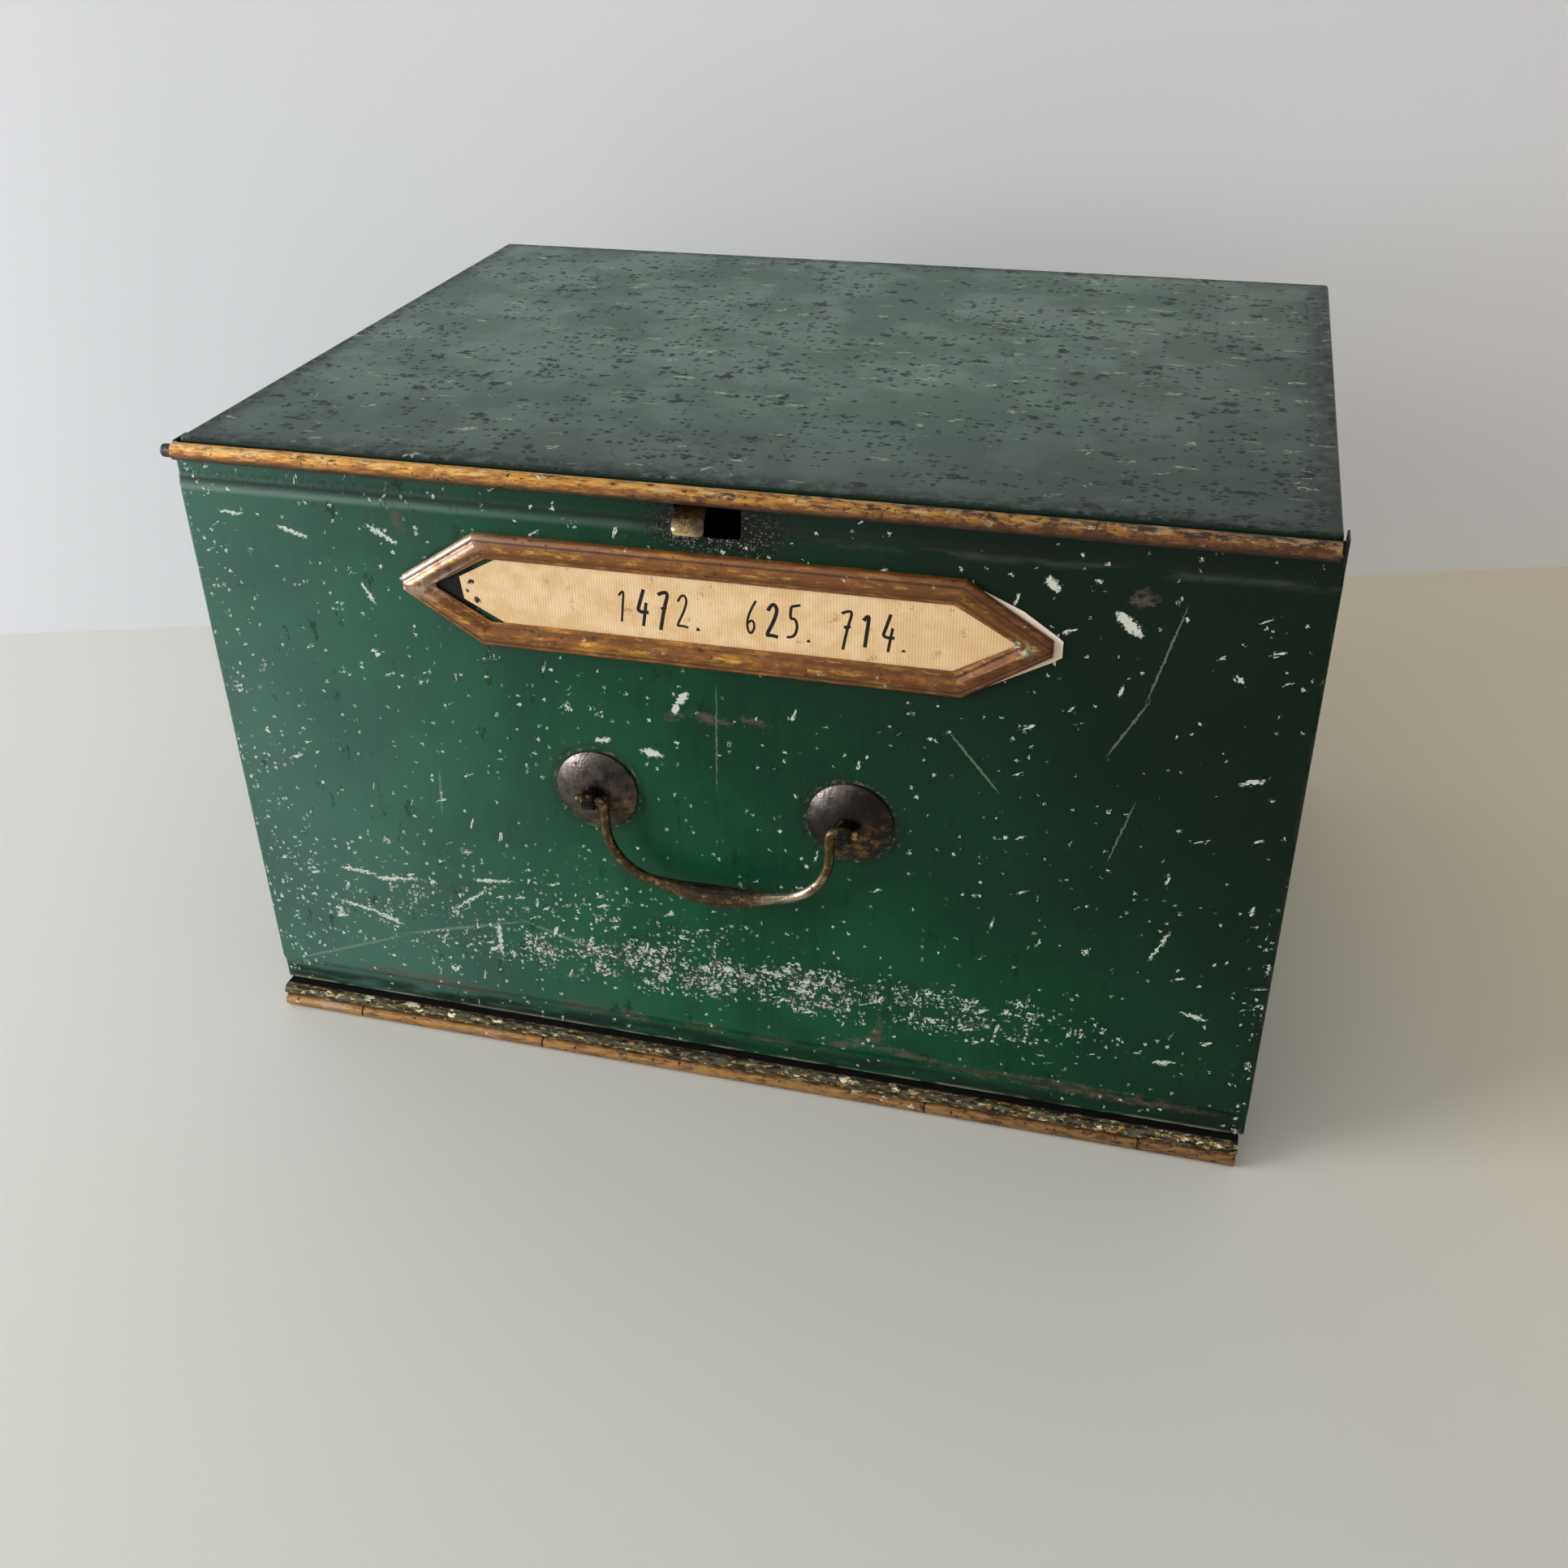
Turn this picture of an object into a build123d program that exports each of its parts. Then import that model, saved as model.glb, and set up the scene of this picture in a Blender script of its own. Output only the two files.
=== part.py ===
from build123d import *
import os
from math import cos, radians, sin

os.makedirs("parts", exist_ok=True)

# Deed box of folded sheet steel whose front drops open on a hinge along its foot.
# Lengths are in millimetres. X runs along the front, Y from the front into the box, Z up.
# The origin is the middle of the base, on the surface that the box stands on.

# ---------------------------------------------------------------- driving sizes: case
sheet = 0.7                 # thickness of every panel
case_width = 416.0
case_depth = 308.0
case_height = 263.0
fold_radius = 1.6           # outside radius of a folded edge
rim_corner = 2.0            # upright corners of the two drawn pans, top and floor
top_rim = 11.0              # how far the top is folded down
side_lip = 11.0             # width of the inward lips beside the opening
floor_wall = 11.0           # how far the floor is folded up
back_lap = 10.0             # laps of the back panel, soldered inside the sides
solder_gap = 0.3            # room between neighbouring laps at a corner
side_rear_gap = 1.4         # the sides stop short of the rounded corners of the top's rim

# ---------------------------------------------------------------- driving sizes: door
door_overhang = 2.0         # the door stands this far past the case at each side
door_gap = 1.2              # air between the case front and the door's border
door_foot = 10.6            # height of the door's bottom edge
door_flange = 8.0           # how far the side flanges lap over the case sides
door_corner = 1.5           # outside radius of the door's upright bends
border_foot = 9.0           # height of the bottom border
border_head = 12.5          # top border, down from the crest of the rolled edge
jog_depth = 1.2             # the field is pressed forward of the border
jog_run = 3.0               # height of the slope between border and field
jog_bend = 3.0
crest_drop = 0.6            # crest of the rolled edge below the case top
roll_radius = 3.3           # outside radius of the rolled top edge
roll_inset = 2.5            # the roll ends short of the door's sides
roll_slit = 0.7             # open seam under the roll
ear_drop = 0.6              # top of the door's corners below the crest
rod_clearance = 0.05
rod_length = 414.0
rod_creep = 212.2           # left end of the rod from the middle: it has crept out
rod_rounding = 1.0

# ---------------------------------------------------------------- driving sizes: hinge
hinge_sheet = 0.8
barrel_radius = 2.6
pin_clearance = 0.05
hinge_reach = 4.7           # hinge axis in front of the door's field
end_break = 170.0           # outer knuckle joints, from the middle
mid_break = 84.0            # inner knuckle joints, from the middle
knuckle_gap = 0.5
pin_inset = 0.5
leaf_height = 10.0          # case leaf, up the front of the floor pan
leaf_side_gap = 0.5
strip_flange = 9.0          # door strip, up the back of the door's border
strip_bend = 1.2            # its outside radius, inside the door's bottom edge
bead_radius = 2.3
bead_setback = 0.7          # centre of the bead behind the hinge axis
bead_clearance = 0.3        # bead over the knuckles of the case

# ---------------------------------------------------------------- driving sizes: label
label_drop = 31.9           # middle of the label below the head of the door's field
label_half_length = 121.0
label_half_height = 22.4
label_shoulder = 90.5       # where the long rails end and the points begin
label_blunt = 3.0           # half the height of a blunt point
label_depth = 3.2
label_edge_radius = 2.2
window_half_length = 107.6
window_half_height = 12.7
window_shoulder = 86.5
window_blunt = 0.8
window_slope = 4.2          # width of the slope round the window
window_lip = 1.3            # thickness left at the window's edge
lug_spread = 60.0           # lugs from the middle of the frame
lug_width = 6.0
lug_sheet = 0.8
lug_fold = 5.0
lug_clearance = 0.15
card_length = 222.0
card_height = 37.3
card_bevel = 26.5
card_blunt = 4.0
card_thickness = 0.35
card_clearance = 0.2
card_shift = 13.0           # the card has slid this far to the right

# ---------------------------------------------------------------- driving sizes: handle
handle_height = 134.0       # bail axis above the base
post_spacing = 101.0
rosette_radius = 16.5
rosette_rise = 5.0
rosette_rim = 0.9
rosette_sheet = 1.0
rosette_foot = 1.3          # width of the rosette's foot ring
rosette_flat = 4.0          # radius of the flat at the top of the dome
rosette_crown = 0.76        # height of the dome half way out, as a share of its rise
bail_reach = 9.0            # bail axis in front of the door's field
eye_radius = 3.8
eye_length = 5.2
eye_edge = 0.6              # rounding of the eye
neck_radius = 3.0
collar_radius = 3.9
collar_height = 1.0
shank_radius = 2.5
shank_clearance = 0.2
shank_end = 1.2             # thread showing past the nut
washer_radius = 6.0
washer_thickness = 1.0
nut_size = 9.0
nut_thickness = 4.0
nut_chamfer = 0.8
bail_radius = 2.0           # of the bail's ends and arms
bail_eye_clearance = 0.1
bail_pin_proud = 2.9        # end of the bail past the eye
bail_side_gap = 0.3         # bend of the bail beside the eye
bail_elbow = 3.0
bail_drop = 36.7            # axis to the middle of the grip
bail_bow = 110.0            # radius of the bottom of the bail
bail_bow_half = 27.0
grip_radius = 4.2           # the bow swells to this in the middle
grip_shoulder = 3.4         # and has this radius a quarter of the way along
bail_end_edge = 0.8

# ---------------------------------------------------------------- driving sizes: catch
tongue_offset = -6.5        # middle of the tongue from the middle of the box
tongue_width = 11.0
tongue_tip_width = 13.0
catch_sheet = 0.8
catch_pad_width = 22.0
catch_pad_length = 16.0
catch_pad_behind = 47.0     # front of the pad behind the case front
catch_taper = 12.0
catch_plate_width = 26.0
catch_plate_length = 18.0
catch_plate_thickness = 1.2
catch_play = 0.35           # air above and below the leaf at the rivets
rivet_spacing = 12.0
rivet_radius = 1.6
rivet_clearance = 0.05
rivet_head_radius = 3.0
rivet_head = 1.2
tongue_under_rod = 2.3      # middle of the leaf under the rod, where it leaves the case
thumb_forward = 6.0
thumb_slope = 2.7
tip_forward = 1.8
tip_drop = 4.7
bump_radius = 1.3
bump_clearance = 0.2
hole_left = -13.4           # catch hole of the door, from the middle
hole_width = 24.4
hole_height = 12.8
hole_corner = 2.0
rod_to_hole = 0.25          # top of the hole under the rod
notch_margin = 1.5          # notch of the case rim round the hole
notch_over_hole = 1.2

# ---------------------------------------------------------------- planes and shared places
half = sheet / 2
front_y = -case_depth / 2
body_x = case_width / 2 - sheet             # outer face of the sides, under the top's rim
body_y = case_depth / 2 - sheet             # outer face of the back
pan_width = case_width - 4 * sheet
pan_depth = case_depth - 4 * sheet
pan_front_y = -pan_depth / 2
side_height = case_height - sheet - 1.0

door_x = case_width / 2 + door_overhang
border_back_y = front_y - door_gap
border_y = border_back_y - sheet
field_y = border_y - jog_depth
crest = case_height - crest_drop
roll_y = border_back_y - roll_radius
roll_z = crest - roll_radius
rod_radius = roll_radius - sheet - rod_clearance
door_head = crest - ear_drop
field_foot = door_foot + border_foot + jog_run
field_head = crest - border_head - jog_run
hole_top = roll_z - rod_radius - rod_to_hole
hole_middle = hole_left + hole_width / 2

hinge_y = field_y - hinge_reach
hinge_z = barrel_radius
knuckle_breaks = (-case_width / 2, -end_break, -mid_break, mid_break, end_break, case_width / 2)
knuckle_spans = [
    (start + knuckle_gap / 2, end - knuckle_gap / 2)
    for start, end in zip(knuckle_breaks, knuckle_breaks[1:])
]
door_spans = knuckle_spans[0::2]
case_spans = knuckle_spans[1::2]

label_height = field_head - label_drop
post_x = post_spacing / 2
bail_y = field_y - bail_reach
field_back_y = field_y + sheet


def front_plane(y):
    """Plane facing the viewer at depth y: sketch X is X, sketch Y is Z, extrude is towards the viewer."""
    return Plane.XZ.offset(-y)


def finish_piece(part, name):
    part.label = name
    export_step(part, f"parts/{name}.step")


# ================================================================ case
# Top: a shallow pan turned upside down over the four walls, notched in front for the catch.
with BuildPart() as case_top:
    with BuildSketch(Plane.XY.offset(case_height)):
        RectangleRounded(case_width, case_depth, rim_corner)
    extrude(amount=-top_rim)
    fillet(case_top.faces().sort_by(Axis.Z)[-1].edges(), fold_radius)
    offset(amount=-sheet, openings=case_top.faces().sort_by(Axis.Z)[0])
    notch_top = hole_top + notch_over_hole
    notch_foot = case_height - top_rim - 1
    with BuildSketch(front_plane(front_y)):
        with Locations((hole_middle, (notch_top + notch_foot) / 2)):
            Rectangle(hole_width + 2 * notch_margin, notch_top - notch_foot)
    extrude(amount=-2 * sheet, mode=Mode.SUBTRACT)
finish_piece(case_top.part, "case_top")

# Sides: flat sheets with an inward lip beside the opening.
for side, name in ((-1, "case_left_side"), (1, "case_right_side")):
    with BuildPart() as case_side:
        with BuildSketch():
            with BuildLine():
                FilletPolyline(
                    (side * (body_x - side_lip), -body_y + half),
                    (side * (body_x - half), -body_y + half),
                    (side * (body_x - half), body_y - side_rear_gap),
                    radius=fold_radius - half,
                )
            trace(line_width=sheet)
        extrude(amount=side_height)
    finish_piece(case_side.part, name)

# Back: laps folded forward inside the sides; they stop above the floor pan.
with BuildPart() as case_back:
    lap_x = body_x - sheet - half
    with BuildSketch():
        with BuildLine():
            FilletPolyline(
                (-lap_x, body_y - back_lap),
                (-lap_x, body_y - half),
                (lap_x, body_y - half),
                (lap_x, body_y - back_lap),
                radius=fold_radius - half,
            )
        trace(line_width=sheet)
    extrude(amount=side_height)
    with BuildSketch():
        with Locations((0, body_y - sheet - back_lap / 2)):
            Rectangle(case_width, back_lap)
    extrude(amount=floor_wall + solder_gap, mode=Mode.SUBTRACT)
finish_piece(case_back.part, "case_back")

# Floor: a shallow pan inside the four walls, flush with their lower edges.
with BuildPart() as case_bottom:
    with BuildSketch():
        RectangleRounded(pan_width, pan_depth, rim_corner)
    extrude(amount=floor_wall)
    fillet(case_bottom.faces().sort_by(Axis.Z)[0].edges(), fold_radius)
    offset(amount=-sheet, openings=case_bottom.faces().sort_by(Axis.Z)[-1])
finish_piece(case_bottom.part, "case_bottom")

# ================================================================ hinge
# Case leaf: up the front of the floor pan, and out under the door to its two knuckles.
with BuildPart() as case_hinge_leaf:
    leaf_y = pan_front_y - hinge_sheet / 2
    leaf_half = body_x - side_lip - leaf_side_gap
    for start, end in case_spans:
        with BuildSketch(Plane.YZ.offset(start)):
            with BuildLine():
                FilletPolyline(
                    (hinge_y, hinge_sheet / 2),
                    (leaf_y, hinge_sheet / 2),
                    (leaf_y, leaf_height),
                    radius=fold_radius - hinge_sheet / 2,
                )
            trace(line_width=hinge_sheet)
            with Locations((hinge_y, hinge_z)):
                Circle(barrel_radius)
                Circle(barrel_radius - hinge_sheet, mode=Mode.SUBTRACT)
        extrude(amount=end - start)
    with BuildSketch(Plane.YZ.offset(-leaf_half)):
        with Locations((leaf_y, (leaf_height + fold_radius) / 2)):
            Rectangle(hinge_sheet, leaf_height - fold_radius)
    extrude(amount=2 * leaf_half)
finish_piece(case_hinge_leaf.part, "case_hinge_leaf")

# Pin: one wire through all five knuckles.
with BuildPart() as hinge_pin:
    pin_half = case_width / 2 - pin_inset
    with BuildSketch(Plane.YZ.offset(-pin_half)):
        with Locations((hinge_y, hinge_z)):
            Circle(barrel_radius - hinge_sheet - pin_clearance)
    extrude(amount=2 * pin_half)
    chamfer(hinge_pin.edges().filter_by(GeomType.CIRCLE), hinge_sheet / 2)
finish_piece(hinge_pin.part, "hinge_pin")

# Door strip: three knuckles, the long bead above them, and the ledge and flange that carry the door.
with BuildPart() as door_hinge_strip:
    bead_y = hinge_y + bead_setback
    bead_z = 2 * barrel_radius + bead_clearance + bead_radius
    bead_line = bead_radius - hinge_sheet / 2
    flange_y = border_back_y + hinge_sheet / 2
    with BuildSketch(Plane.YZ.offset(-case_width / 2)):
        with BuildLine():
            CenterArc((bead_y, bead_z), bead_line, 270, -180)
            FilletPolyline(
                (bead_y, bead_z + bead_line),
                (flange_y, bead_z + bead_line),
                (flange_y, door_foot + strip_flange),
                radius=strip_bend - hinge_sheet / 2,
            )
        trace(line_width=hinge_sheet)
    extrude(amount=case_width)
    for start, end in door_spans:
        with BuildSketch(Plane.YZ.offset(start)):
            with Locations((bead_y, 2 * barrel_radius + bead_clearance / 2)):
                Rectangle(2 * hinge_sheet, bead_clearance + hinge_sheet)
            with Locations((hinge_y, hinge_z)):
                Circle(barrel_radius)
                Circle(barrel_radius - hinge_sheet, mode=Mode.SUBTRACT)
        extrude(amount=end - start)
finish_piece(door_hinge_strip.part, "door_hinge_strip")

# ================================================================ door
# Panel: a pressed pan with a forward field, side flanges over the case, and the top rolled over a rod.
def door_profile(setback, foot, head, rear_y):
    """Side view of the door from its front face, moved back by setback, to rear_y."""
    front = (
        (border_y + setback, foot),
        (border_y + setback, door_foot + border_foot),
        (field_y + setback, field_foot),
        (field_y + setback, field_head),
        (border_y + setback, field_head + jog_run),
        (border_y + setback, head),
    )
    with BuildLine() as outline:
        FilletPolyline(*front, radius=jog_bend)
        Polyline(front[-1], (rear_y, head), (rear_y, foot), front[0])
    return outline.line


with BuildPart() as door_panel:
    with BuildSketch(Plane.YZ.offset(-door_x)):
        add(door_profile(0, door_foot, door_head, front_y + door_flange))
        make_face()
    extrude(amount=2 * door_x)
    upright_bends = [
        edge
        for edge in door_panel.edges()
        if abs(edge.center().X) > door_x - 0.01
        and edge.center().Y < border_y + 0.01
        and abs(edge.tangent_at(0.5).Z) > 0.5
    ]
    fillet(upright_bends, door_corner)
    with BuildSketch(Plane.YZ.offset(-door_x + sheet)):
        add(door_profile(sheet, door_foot - 1, door_head + 1, front_y + door_flange + 1))
        make_face()
    extrude(amount=2 * (door_x - sheet), mode=Mode.SUBTRACT)
    # the sheet leaves its upright plane where the roll begins, except at the two corners
    roll_half = door_x - roll_inset
    with BuildSketch(Plane.YZ.offset(-roll_half)):
        with Locations((roll_y, roll_z)):
            Rectangle(4 * roll_radius, 2 * roll_radius, align=(Align.CENTER, Align.MIN))
    extrude(amount=2 * roll_half, mode=Mode.SUBTRACT)
    with BuildSketch(Plane.YZ.offset(-roll_half)):
        with Locations((roll_y, roll_z)):
            Circle(roll_radius)
            Circle(roll_radius - sheet, mode=Mode.SUBTRACT)
        with Locations((border_y, roll_z - roll_radius / 2)):
            Rectangle(roll_slit, roll_radius, align=(Align.MAX, Align.MAX), mode=Mode.SUBTRACT)
    extrude(amount=2 * roll_half)
    # catch hole, up into the underside of the roll
    with BuildSketch(front_plane(field_y - roll_radius)):
        with Locations((hole_middle, hole_top - hole_height / 2)):
            RectangleRounded(hole_width, hole_height, hole_corner)
    extrude(amount=field_y - roll_radius - front_y, mode=Mode.SUBTRACT)
    # holes for the handle posts and slots for the label's lugs
    with BuildSketch(front_plane(field_y)):
        with Locations((0, handle_height)):
            with GridLocations(post_spacing, 0, 2, 1):
                Circle(shank_radius + shank_clearance)
        with Locations((0, label_height)):
            with GridLocations(2 * lug_spread, 2 * (label_half_height - 2 * lug_sheet), 2, 2):
                Rectangle(lug_width + 2 * lug_clearance, lug_sheet + 2 * lug_clearance)
    extrude(amount=-2 * sheet, mode=Mode.SUBTRACT)
finish_piece(door_panel.part, "door_panel")

# Rod in the rolled edge: it has crept to the left, so its end stands out beside the door.
with BuildPart() as door_edge_wire:
    with BuildSketch(Plane.YZ.offset(-rod_creep)):
        with Locations((roll_y, roll_z)):
            Circle(rod_radius)
    extrude(amount=rod_length)
    fillet(door_edge_wire.edges().filter_by(GeomType.CIRCLE), rod_rounding)
finish_piece(door_edge_wire.part, "door_edge_wire")


# ================================================================ label
def pointed_plate(half_length, half_height, shoulder, blunt):
    """Six-sided plate with blunt points at both ends."""
    quarter = [(shoulder, half_height), (half_length, blunt)]
    right = quarter + [(x, -z) for x, z in reversed(quarter)]
    Polygon(*right, *[(-x, -z) for x, z in right], align=None)


# Frame: rounded rails, a slope down to the window, a channel behind for the card, four clenched lugs.
with BuildPart() as label_frame:
    with BuildSketch(front_plane(field_y)):
        with Locations((0, label_height)):
            pointed_plate(label_half_length, label_half_height, label_shoulder, label_blunt)
    extrude(amount=label_depth)
    fillet(label_frame.faces().sort_by(Axis.Y)[0].edges(), label_edge_radius)
    with BuildSketch(front_plane(field_y - window_lip)):
        with Locations((0, label_height)):
            pointed_plate(window_half_length, window_half_height, window_shoulder, window_blunt)
    with BuildSketch(front_plane(field_y - label_depth - 0.01)) as slope_top:
        with Locations((0, label_height)):
            pointed_plate(window_half_length, window_half_height, window_shoulder, window_blunt)
        offset(amount=window_slope, kind=Kind.INTERSECTION, mode=Mode.REPLACE)
    loft(mode=Mode.SUBTRACT)
    with BuildSketch(front_plane(field_y)):
        with Locations((0, label_height)):
            pointed_plate(window_half_length, window_half_height, window_shoulder, window_blunt)
    extrude(amount=label_depth, mode=Mode.SUBTRACT)
    channel_depth = card_thickness + 2 * card_clearance
    with BuildSketch(front_plane(field_y)):
        with Locations((0, label_height)):
            Rectangle(2 * label_half_length + 2, card_height + 4 * card_clearance)
    extrude(amount=channel_depth, mode=Mode.SUBTRACT)
    lug_z = label_half_height - 2 * lug_sheet
    lug_back_y = field_back_y + lug_clearance
    with BuildSketch(front_plane(field_y)):
        with Locations((0, label_height)):
            with GridLocations(2 * lug_spread, 2 * lug_z, 2, 2):
                Rectangle(lug_width, lug_sheet)
    extrude(amount=field_y - lug_back_y - lug_sheet)
    with BuildSketch(front_plane(lug_back_y)):
        with Locations((0, label_height)):
            with GridLocations(2 * lug_spread, 2 * (lug_z - lug_fold / 2 + lug_sheet / 2), 2, 2):
                Rectangle(lug_width, lug_fold)
    extrude(amount=-lug_sheet)
finish_piece(label_frame.part, "label_frame")

# Card: slipped in from the side between frame and door.
with BuildPart() as label_card:
    with BuildSketch(front_plane(field_y - card_clearance)):
        with Locations((card_shift, label_height)):
            pointed_plate(card_length / 2, card_height / 2, card_length / 2 - card_bevel, card_blunt)
    extrude(amount=card_thickness)
finish_piece(label_card.part, "label_card")

# ================================================================ handle
# Each side has a domed rosette, an eye bolt through it, and a washer and nut inside the door.
for side, name in ((-1, "left"), (1, "right")):
    axis = Axis((side * post_x, field_y, handle_height), (0, -1, 0))
    # sketch X is the radius, sketch Y is the height above the door
    turning = Plane(origin=axis.position, x_dir=(1, 0, 0), z_dir=(0, 0, -1))
    bore = shank_radius + shank_clearance
    inner_rim = rosette_radius - rosette_foot
    inner_rise = rosette_rise - rosette_sheet
    with BuildPart() as rosette:
        with BuildSketch(turning):
            with BuildLine():
                Polyline((inner_rim, 0), (rosette_radius, 0), (rosette_radius, rosette_rim))
                ThreePointArc(
                    (rosette_radius, rosette_rim),
                    ((rosette_radius + rosette_flat) / 2, rosette_crown * rosette_rise),
                    (rosette_flat, rosette_rise),
                )
                Polyline(
                    (rosette_flat, rosette_rise),
                    (bore, rosette_rise),
                    (bore, inner_rise),
                    (rosette_flat, inner_rise),
                )
                ThreePointArc(
                    (rosette_flat, inner_rise),
                    ((inner_rim + rosette_flat) / 2, rosette_crown * inner_rise),
                    (inner_rim, 0),
                )
            make_face()
        revolve(axis=axis)
    finish_piece(rosette.part, f"handle_rosette_{name}")

    with BuildPart() as post:
        shank = sheet + washer_thickness + nut_thickness + shank_end
        with BuildSketch(turning):
            with BuildLine():
                Polyline(
                    (0, -shank),
                    (shank_radius, -shank),
                    (shank_radius, rosette_rise),
                    (collar_radius, rosette_rise),
                    (collar_radius, rosette_rise + collar_height),
                    (neck_radius, bail_reach),
                    (0, bail_reach),
                    close=True,
                )
            make_face()
        revolve(axis=axis)
        with BuildSketch(Plane.YZ.offset(side * post_x - eye_length / 2)):
            with Locations((bail_y, handle_height)):
                Circle(eye_radius)
        extrude(amount=eye_length)
        fillet(post.faces().filter_by(Axis.X).edges().filter_by(GeomType.CIRCLE), eye_edge)
        with BuildSketch(Plane.YZ.offset(side * post_x - eye_length)):
            with Locations((bail_y, handle_height)):
                Circle(bail_radius + bail_eye_clearance)
        extrude(amount=2 * eye_length, mode=Mode.SUBTRACT)
    finish_piece(post.part, f"handle_post_{name}")

with BuildPart() as handle_washers:
    with BuildSketch(front_plane(field_back_y)):
        with Locations((0, handle_height)):
            with GridLocations(post_spacing, 0, 2, 1):
                Circle(washer_radius)
                Circle(shank_radius + shank_clearance, mode=Mode.SUBTRACT)
    extrude(amount=-washer_thickness)
finish_piece(handle_washers.part, "handle_washers")

with BuildPart() as handle_nuts:
    with BuildSketch(front_plane(field_back_y + washer_thickness)):
        with Locations((0, handle_height)):
            with GridLocations(post_spacing, 0, 2, 1):
                Rectangle(nut_size, nut_size)
                Circle(shank_radius + rod_clearance, mode=Mode.SUBTRACT)
    extrude(amount=-nut_thickness)
    chamfer(handle_nuts.edges().filter_by(Axis.Y), nut_chamfer)
finish_piece(handle_nuts.part, "handle_nuts")

# Bail: ends bent outward through the eyes, round corners, a bowed bottom that swells into the grip.
arm_x = post_x - eye_length / 2 - bail_side_gap - bail_elbow
pin_tip = post_x + eye_length / 2 + bail_pin_proud
bow_foot = handle_height - bail_drop
bow_sine = bail_bow_half / bail_bow
bow_cosine = (1 - bow_sine**2) ** 0.5
bow_centre = bow_foot + bail_bow
corner_radius = (arm_x - bail_bow_half) / (1 - bow_sine)
corner_x = arm_x - corner_radius
corner_z = bow_centre - bail_bow * bow_cosine + corner_radius * bow_cosine

bow_left = (-bail_bow_half, bow_centre - bail_bow * bow_cosine)
bow_right = (bail_bow_half, bow_centre - bail_bow * bow_cosine)
grip_stations = (
    (0, bail_radius),
    (0.25, grip_shoulder),
    (0.5, grip_radius),
    (0.75, grip_shoulder),
    (1, bail_radius),
)

with BuildPart() as handle_bail:
    with BuildLine(front_plane(bail_y)) as bow_line:
        RadiusArc(bow_left, bow_right, -bail_bow)
    bow = bow_line.edges()[0]
    for place, radius in grip_stations:
        with BuildSketch(Plane(origin=bow @ place, z_dir=bow % place)):
            Circle(radius)
    sweep(path=bow, multisection=True)
    for side in (-1, 1):
        with BuildLine(front_plane(bail_y)) as arm_line:
            Line((side * pin_tip, handle_height), (side * (arm_x + bail_elbow), handle_height))
            elbow_top = (side * (arm_x + bail_elbow), handle_height)
            elbow_foot = (side * arm_x, handle_height - bail_elbow)
            RadiusArc(elbow_top, elbow_foot, -side * bail_elbow)
            Line(elbow_foot, (side * arm_x, corner_z))
            RadiusArc((side * arm_x, corner_z), (side * bail_bow_half, bow_left[1]), side * corner_radius)
        with BuildSketch(Plane.YZ.offset(side * pin_tip)):
            with Locations((bail_y, handle_height)):
                Circle(bail_radius)
        sweep(path=arm_line.wires()[0])
    fillet(handle_bail.edges().filter_by(GeomType.CIRCLE).group_by(Axis.X)[0], bail_end_edge)
    fillet(handle_bail.edges().filter_by(GeomType.CIRCLE).group_by(Axis.X)[-1], bail_end_edge)
finish_piece(handle_bail.part, "handle_bail")

# ================================================================ catch
# Leaf spring hung on two shouldered rivets; its tongue leaves through the door and curls down for a thumb.
plate_foot = case_height - sheet - catch_plate_thickness
pad_z = plate_foot - catch_play - catch_sheet / 2
pad_front_y = front_y + catch_pad_behind
pad_rear_y = pad_front_y + catch_pad_length
rivet_y = (pad_front_y + pad_rear_y) / 2
door_pass_z = roll_z - rod_radius - tongue_under_rod
thumb_y = field_y - thumb_forward
tip_y = thumb_y - tip_forward

with BuildPart() as catch_plate:
    with BuildSketch(Plane.XY.offset(plate_foot)):
        with Locations((tongue_offset, rivet_y)):
            Rectangle(catch_plate_width, catch_plate_length)
            with GridLocations(rivet_spacing, 0, 2, 1):
                Circle(rivet_radius + rivet_clearance, mode=Mode.SUBTRACT)
    extrude(amount=catch_plate_thickness)
finish_piece(catch_plate.part, "catch_plate")

with BuildPart() as catch_rivets:
    head_top = pad_z - catch_sheet / 2 - catch_play
    with BuildSketch(Plane.XY.offset(head_top)):
        with Locations((tongue_offset, rivet_y)):
            with GridLocations(rivet_spacing, 0, 2, 1):
                Circle(rivet_radius)
    extrude(amount=plate_foot + catch_plate_thickness - head_top)
    with BuildSketch(Plane.XY.offset(head_top)):
        with Locations((tongue_offset, rivet_y)):
            with GridLocations(rivet_spacing, 0, 2, 1):
                Circle(rivet_head_radius)
    extrude(amount=-rivet_head)
    fillet(catch_rivets.faces().group_by(Axis.Z)[0].edges(), 0.7)
finish_piece(catch_rivets.part, "catch_rivets")

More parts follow.
